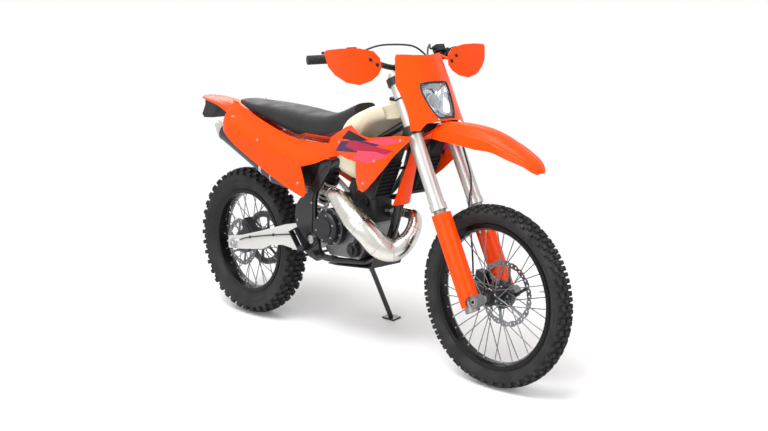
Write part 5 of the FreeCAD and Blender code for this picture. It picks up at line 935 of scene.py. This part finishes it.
def band(at, width, grow):
    """A flat hoop round the can, its outside grown by a share of the can's mean radius."""
    scale = 1 + grow / 42.0
    return looped([CAN_START + CAN_WAY * (at + w * width / 2) + oval * k
                   for w, k in ((-1, 1.001), (-1, scale), (1, scale), (1, 1.001))])


RIVETED = (CAN_LENGTH - 40.0, 90.0)
parts = [band(166.0, 20.0, 2.0)] + [band(at, 8.0, 1.2) for at in RIVETED]
for at in RIVETED:
    for out in oval[::9]:
        parts.append(disc_body(CAN_START + CAN_WAY * at + out * 1.03, out, 2.6, 1.6, 10, 0.4))
end = CAN_END + CAN_WAY * 20.0
outlet = [(18.4, 0.0), (18.4, 2.0), (14.0, 2.0), (14.0, -16.0), (0.5, -16.0)]
parts.append(capped([end + circle(a, side, up) * r + CAN_WAY * h for r, h in outlet]))
piece("silencer_trim", parts, can_end, "chassis")

# %% [markdown]
# ## Rear shock
# A coil spring round a damper, between two eyes. The frame has it as one smooth body; here the spring is a
# real helix between two collars, with the bare rod below it.

# %% Rear shock
LOW = np.array([-312.0, 0.0, 474.0])
HIGH = np.array([-150.0, 0.0, 742.0])
way = HIGH - LOW
unit = way / np.linalg.norm(way)


def on_damper(shares, radius, sides=32):
    """A round part between shares of the way from the lower eye to the upper one."""
    return swept([LOW + way * k for k in shares], radius, sides)


shock = piece("shock_body", [
    on_damper((0.0, 0.3), 8.0, 16), on_damper((0.45, 0.93), 22.0, 28),
    on_damper((0.19, 0.19, 0.22), [30.0, 33.0, 33.0]), on_damper((0.78, 0.81), 33.0),
    on_damper((0.82, 0.84), 33.0), swept([LOW + unit * 12, LOW + unit * 40], 14.0, 16),
    *(swept([eye - [0, 18, 0], eye + [0, 18, 0]], 17.0, 24) for eye in (LOW, HIGH)),
], dark_cast_and_painted_shade, "chassis")
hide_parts("rear_shock")
spring = coil(LOW + way * 0.22, LOW + way * 0.78, 28.5, 5.0, 7.5, 10)
piece("shock_spring", spring, spring_white, "chassis", 60)

# %% [markdown]
# ## Headlamp
# The lamp fills a shaped window in the mask: a clear moulded lens over a silvered bowl with a round beam
# unit in it, and a black bezel round them. Lens, bowl and bezel follow one outline; a ring of it drawn in
# towards the middle by a share, at a depth given with the share, makes each surface.

# %% Headlamp
HALF_WINDOW = [(0, 845), (40, 845.2), (66, 844), (71, 840), (74, 826), (75, 811), (71, 784), (65, 757),
               (55, 728), (44, 706), (36, 702), (0, 701)]
window = np.array(HALF_WINDOW + [(-y, z) for y, z in HALF_WINDOW[-2:0:-1]], float)
LAMP_Z = 778.0
MIDDLE = np.array([0.0, LAMP_Z])


def window_rings(*stations):
    """The window's outline at each (share, back), back measured from the mask's squared curve across."""
    rings = []
    for share, back in stations:
        flat = MIDDLE + (window - MIDDLE) * share
        rings.append(steered(np.column_stack([120.0 - 62.0 * (flat[:, 0] / 150.0) ** 2 - back, flat])))
    return rings


headlight = piece("headlamp_lens", capped(window_rings(
    (0.03, 5.2), (0.5, 5.4), (0.9, 5.8), (0.97, 7.0), (0.97, 9.6), (0.9, 8.2), (0.5, 7.8), (0.03, 7.6))),
    lens, "steering")
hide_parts("headlight")
piece("headlamp_bowl", looped(window_rings(
    (0.965, 10.2), (0.9, 22), (0.72, 40), (0.45, 50), (0.04, 53), (0.04, 55), (0.46, 52.5), (0.74, 42.5),
    (0.93, 23), (0.985, 10.2))), mirror, "steering")
piece("headlamp_beam_unit", swept(steered([(x, 0, LAMP_Z) for x in (60, 78, 84, 86)]), [27, 30, 27, 8], 40),
      lens, "steering")
piece("headlamp_beam_ring", swept(steered([(x, 0, LAMP_Z) for x in (70, 82)]), 33.5, 48),
      can_end, "steering")
piece("headlamp_bezel", looped(window_rings(
    (0.975, 6.5), (0.975, -1.2), (1.03, -2.0), (1.075, -0.6), (1.05, 3.5))),
    black, "steering")

# %% [markdown]
# ## Mask and guards
# Rubber straps hold the mask to the fork tubes. The guards bolt to stays that clamp the bar with black
# screws; the fork caps, clamps and bar risers have plated ones. A steel fitting ends the front brake hose.

# %% Mask straps, guard bolts, hose end and fork caps
FORK_X, FORK_Y = 22, 103


def guard_x(y, z):
    """How far forward a hand guard lies: less a squared share outward, and less towards its lower edge."""
    out = max(0.0, (abs(y) - 185.0) / 254.0)
    return 72.0 - 24.0 * out ** 2 - 40.0 * (1 - (z - 888.0) / 134.0)


straps, guard_bolts, bolts = [], [], []
for side in (-1, 1):
    for z in (700.0, 820.0):
        straps.append(swept(steered([
            (FORK_X + 31.2 * math.cos(a), side * (FORK_Y + 31.2 * math.sin(a)), z)
            for a in np.linspace(-1.4, 1.9, 14)]), 3.2, 8))
    for y, z in ((205.0, 955.0), (236.0, 975.0)):
        p, n = steered_seat((guard_x(y, z), side * y, z), (1, 0, 0))
        guard_bolts += [disc_body(p, n, 9.0, 1.6), bolt(p + n * 1.6, n, 6.0, 3.0)]
    p, n = steered_seat((FORK_X, side * FORK_Y, 927), UP)
    bolts += [bolt(p, n, 15.0, 5.0), disc_body(p + n * 5, n, 5.0, 4.0, 16)]
    for z in (680.0, 698.0, 894.0):
        bolts.append(bolt(*steered_seat((FORK_X - 37.8, side * FORK_Y, z), (-1, 0, 0)), 5.2, 4.0))
    for x in (-5, 21):
        bolts.append(bolt(*steered_seat((x, side * 42, 974.5), UP), 5.0, 4.0))
piece("mask_straps", straps, hose_rubber, "steering")
piece("guard_bolts", guard_bolts, dark_cast_and_painted_shade, "steering")
piece("front_hose_end", [
    swept(steered([(-76, 64, 108), (-78, 64, 103), (-74, 64, 94), (-62, 64, 88), (-50, 64, 85)]), 4.6, 12),
    swept(steered([(-60, 64, 88), (-54, 64, 86)]), 8.0, 20)], steel, "steering")
piece("steering_bolts", bolts, zinc, "steering")

# %% [markdown]
# ## Grips and switches
# A grip is ribbed for hold: a sleeve whose radius rises and falls along the bar's end. Switch pods clamp
# the bar inboard of the levers, and a small display lies over the upper clamp.

# %% Grips, pods and display
BAR_BEND = np.array([-22.0, 210.0, 1017.0])
GRIP_START = np.array([-47.38, 285.0, 1027.0])
BAR_TIP = np.array([-88.0, 405.0, 1043.0])
way = BAR_TIP - GRIP_START
k = np.linspace(0.07, 1.0, 110)
ribbed = 16.7 + 0.9 * (np.sin(2 * math.pi * k * 22) > -0.2)
inner = BAR_BEND + (GRIP_START - BAR_BEND) * 0.3
ribs, pods = [], []
for side in (-1, 1):
    m = np.array([1, side, 1])
    ribs.append(swept(steered((GRIP_START + np.outer(k, way)) * m), ribbed, 24))
    ribs.append(swept(steered([(BAR_TIP + way * e) * m for e in (0.0, 0.02, 0.03)]), [17.4, 17.4, 13.0], 24))
    a, b = steered([inner * m, (inner + (GRIP_START - BAR_BEND) * 0.34) * m])
    pods.append(swept([a, a + (b - a) * 0.1, a + (b - a) * 0.9, b], [14.0, 16.5, 16.5, 14.0], 18))
    pods.append(swept(steered([(inner + [4, 8, 12]) * m, (inner + [5, 8, 21]) * m]), [5.0, 4.5], 12))
piece("grip_ribs", ribs, grip_rubber, "steering")
piece("switch_pods", pods, black, "steering")
piece("display", block(steered([(55.3, 0, 932.4)])[0], (38.0, 68.0, 1.6), 0.6, tilted(RAKE)),
      screen, "steering")

# %% [markdown]
# ## Chassis details
# Nuts close the axles, adjusters pull the rear axle back, a spring holds the stand, and a brake line runs
# along the arm to the rear caliper. The tail carries a red lamp; the cap has a ribbed edge and a breather.

# %% Nuts, bolts and chain adjusters
SIDE_BOLTS = [(-743.5, 117.2, 342, 15, 9), (-168, 134.4, 450, 13, 4), (176, 13, 474, 9, 7),
              (-150, 26.6, 742, 8, 5), (-312, 26.6, 474, 8, 5), (-168, 125.6, 606, 5, 2.6),
              (-262, 125.6, 520, 5, 2.6), (-196, 125.6, 648, 5, 2.6)]
piece("front_axle_nut", bolt((743.5, 134.2, 350.0), LEFT, 13.0, 4.0, 12), zinc, "steering")
parts = []
for s in (-1, 1):
    parts += [bolt((x, s * y, z), (0, s, 0), radius, height) for x, y, z, radius, height in SIDE_BOLTS]
    parts += [swept([(-786, s * 97, 342), (-800, s * 97, 342)], 4.0, 10),
              bolt((-800, s * 97, 342), (-1, 0, 0), 7.0, 5.0)]
    parts += [bolt((x, s * 70.0, z), (0, 0, -1), 6.0, 2.4) for x, z in ((128, 364.5), (-92, 346.9))]
piece("chassis_bolts", parts, zinc, "chassis")

# %% Rear brake line, stand spring, tail lamp and filler cap
LINE_Y = -112
LINE = [(-694, 366), (-640, 384), (-500, 414), (-380, 436), (-282, 452)]
LINE_CLIPS = [(-620, 389), (-450, 424), (-320, 446)]
parts = [swept(curved([(x, LINE_Y, z) for x, z in LINE]), 3.0, 8)]
parts += [block((x, LINE_Y + 1, z), (10.0, 6.0, 12.0), 1.0) for x, z in LINE_CLIPS]
piece("rear_brake_line", parts, hose_rubber, "chassis")
PIVOT = np.array([-124.0, 142.0, 356.0])
down = np.array([0.06, 0.40, -0.915])
down /= np.linalg.norm(down)
off = np.array([-0.985, 0.04, 0.17]) * 19.0
piece("stand_spring", [
    coil(PIVOT + off + down * 30, PIVOT + off + down * 104, 4.6, 1.3, 14),
    swept([PIVOT + down * 112, PIVOT + off * 1.2 + down * 110], 3.0, 8)], zinc, "stand", 60)
piece("tail_lamp", block((-1040.5, 0, 978.0), (7.0, 66.0, 24.0), 2.5), red_lens, "chassis")
CAP_X, CAP_RIBS = 224, 24
parts = [swept([(CAP_X, 0, z) for z in (1052.3, 1058, 1064, 1066)], [34.4, 34.4, 33.0, 26.0], 48)]
parts += [block((CAP_X + 34.6 * math.cos(a), 34.6 * math.sin(a), 1058.4), (2.4, 2.4, 9.0), 0.6)
          for a in once_round(CAP_RIBS)]
parts.append(swept(curved([
    (CAP_X, 0, 1065), (230, 0, 1078), (252, 4, 1080), (272, 10, 1060), (282, 16, 1046)]), 3.0, 8))
piece("filler_cap_ribs", parts, black, "chassis")

# %% [markdown]
# ## Studio
# The photograph is a cut-out on white with a soft shadow. The floor turns to pure white away from the
# machine, and the background is white, only for rays from the camera and those that polished or clear
# surfaces send on, so neither adds light. Four large lamps give broad, soft highlights along the panels. The
# camera was fitted to the two wheels' outlines in the photograph; as the machine leans, the camera gets the
# same lean, which keeps the photograph's upright picture.

# %% Camera
CAMERA = Vector((3.492, -3.210, 1.451))
TARGET = Vector((0.141, 0.0, 0.577))


def facing(place, aim):
    """The matrix of a camera or lamp at a place that faces an aim."""
    place = Vector(place)
    return Matrix.Translation(place) @ (Vector(aim) - place).to_track_quat("-Z", "Y").to_matrix().to_4x4()


cam_data = bpy.data.cameras.new("camera")
cam_data.lens = 54.1
cam_data.sensor_width = 36.0
cam = linked("camera", cam_data)
cam.matrix_world = LEANED @ facing(CAMERA, TARGET)
bpy.context.scene.camera = cam

# %% Floor and lights
mesh = bpy.data.meshes.new("floor")
mesh.from_pydata([(-60, -60, 0), (60, -60, 0), (60, 60, 0), (-60, 60, 0)], [], [(0, 1, 2, 3)])
floor = linked("floor", mesh)


def seen_or_mirrored(tree):
    """1 for rays from the camera, off polished surfaces and through clear ones, 0 for the rest."""
    ray = add(tree, "LightPath").outputs
    either = calc(tree, "MAXIMUM", ray["Is Camera Ray"], ray["Is Glossy Ray"])
    return calc(tree, "MAXIMUM", either, ray["Is Transmission Ray"])


WHITE = (1, 1, 1, 1)
paper = bpy.data.materials.new("studio_paper")
paper.use_nodes = True
tree = paper.node_tree
matt = feed(tree, tree.nodes[SHADER], Base_Color=srgb("#F7F7F7"), Roughness=0.9, Specular_IOR_Level=0.1)
place = add(tree, "TexCoord").outputs["Object"]
stretched = add(tree, "VectorMath", {"operation": "MULTIPLY"}, _0=place, _1=(0.62, 1.0, 0.0))
far = add(tree, "VectorMath", {"operation": "LENGTH"}, _0=stretched.outputs[0])
fade = add(tree, "MapRange", {"interpolation_type": "SMOOTHSTEP"}, Value=far.outputs["Value"],
           From_Min=0.6, From_Max=1.5)
share = calc(tree, "MULTIPLY", fade.outputs[0], seen_or_mirrored(tree))
glow = add(tree, "Emission", Color=WHITE, Strength=1.0)
mixed = add(tree, "MixShader", _0=share, _1=matt.outputs[0], _2=glow.outputs[0])
feed(tree, tree.nodes["Material Output"], Surface=mixed.outputs[0])
mesh.materials.append(paper)
floor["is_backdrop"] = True


def soft_lamp(name, place, aim, size, power):
    """A rectangular area lamp at place that faces aim."""
    data = bpy.data.lights.new(name, "AREA")
    data.shape = "RECTANGLE"
    data.size, data.size_y = size
    data.energy = power
    linked(name, data).matrix_world = facing(place, aim)


soft_lamp("top", (0.3, -1.2, 4.6), (0, 0, 0.4), (4.0, 2.4), 225)
soft_lamp("camera_side", (1.0, -5.0, 2.6), (0, 0, 0.6), (4.5, 2.6), 112)
soft_lamp("front", (5.2, 0.6, 2.4), (0.3, 0, 0.6), (2.6, 2.6), 90)
soft_lamp("rear", (-3.6, 2.8, 3.2), (0, 0, 0.7), (3.0, 2.4), 85)
world = bpy.data.worlds.new("studio")
bpy.context.scene.world = world
world.use_nodes = True
tree = world.node_tree
dim = feed(tree, tree.nodes["Background"], Color=WHITE, Strength=0.42)
bright = add(tree, "Background", Color=WHITE, Strength=1.0)
sky = add(tree, "MixShader", _0=seen_or_mirrored(tree), _1=dim.outputs[0], _2=bright.outputs[0])
feed(tree, tree.nodes["World Output"], Surface=sky.outputs[0])
bpy.context.scene.view_settings.view_transform = "Standard"

# %% Size and finish
low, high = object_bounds()
print("stands in", [round(v, 3) for v in high - low], "m")
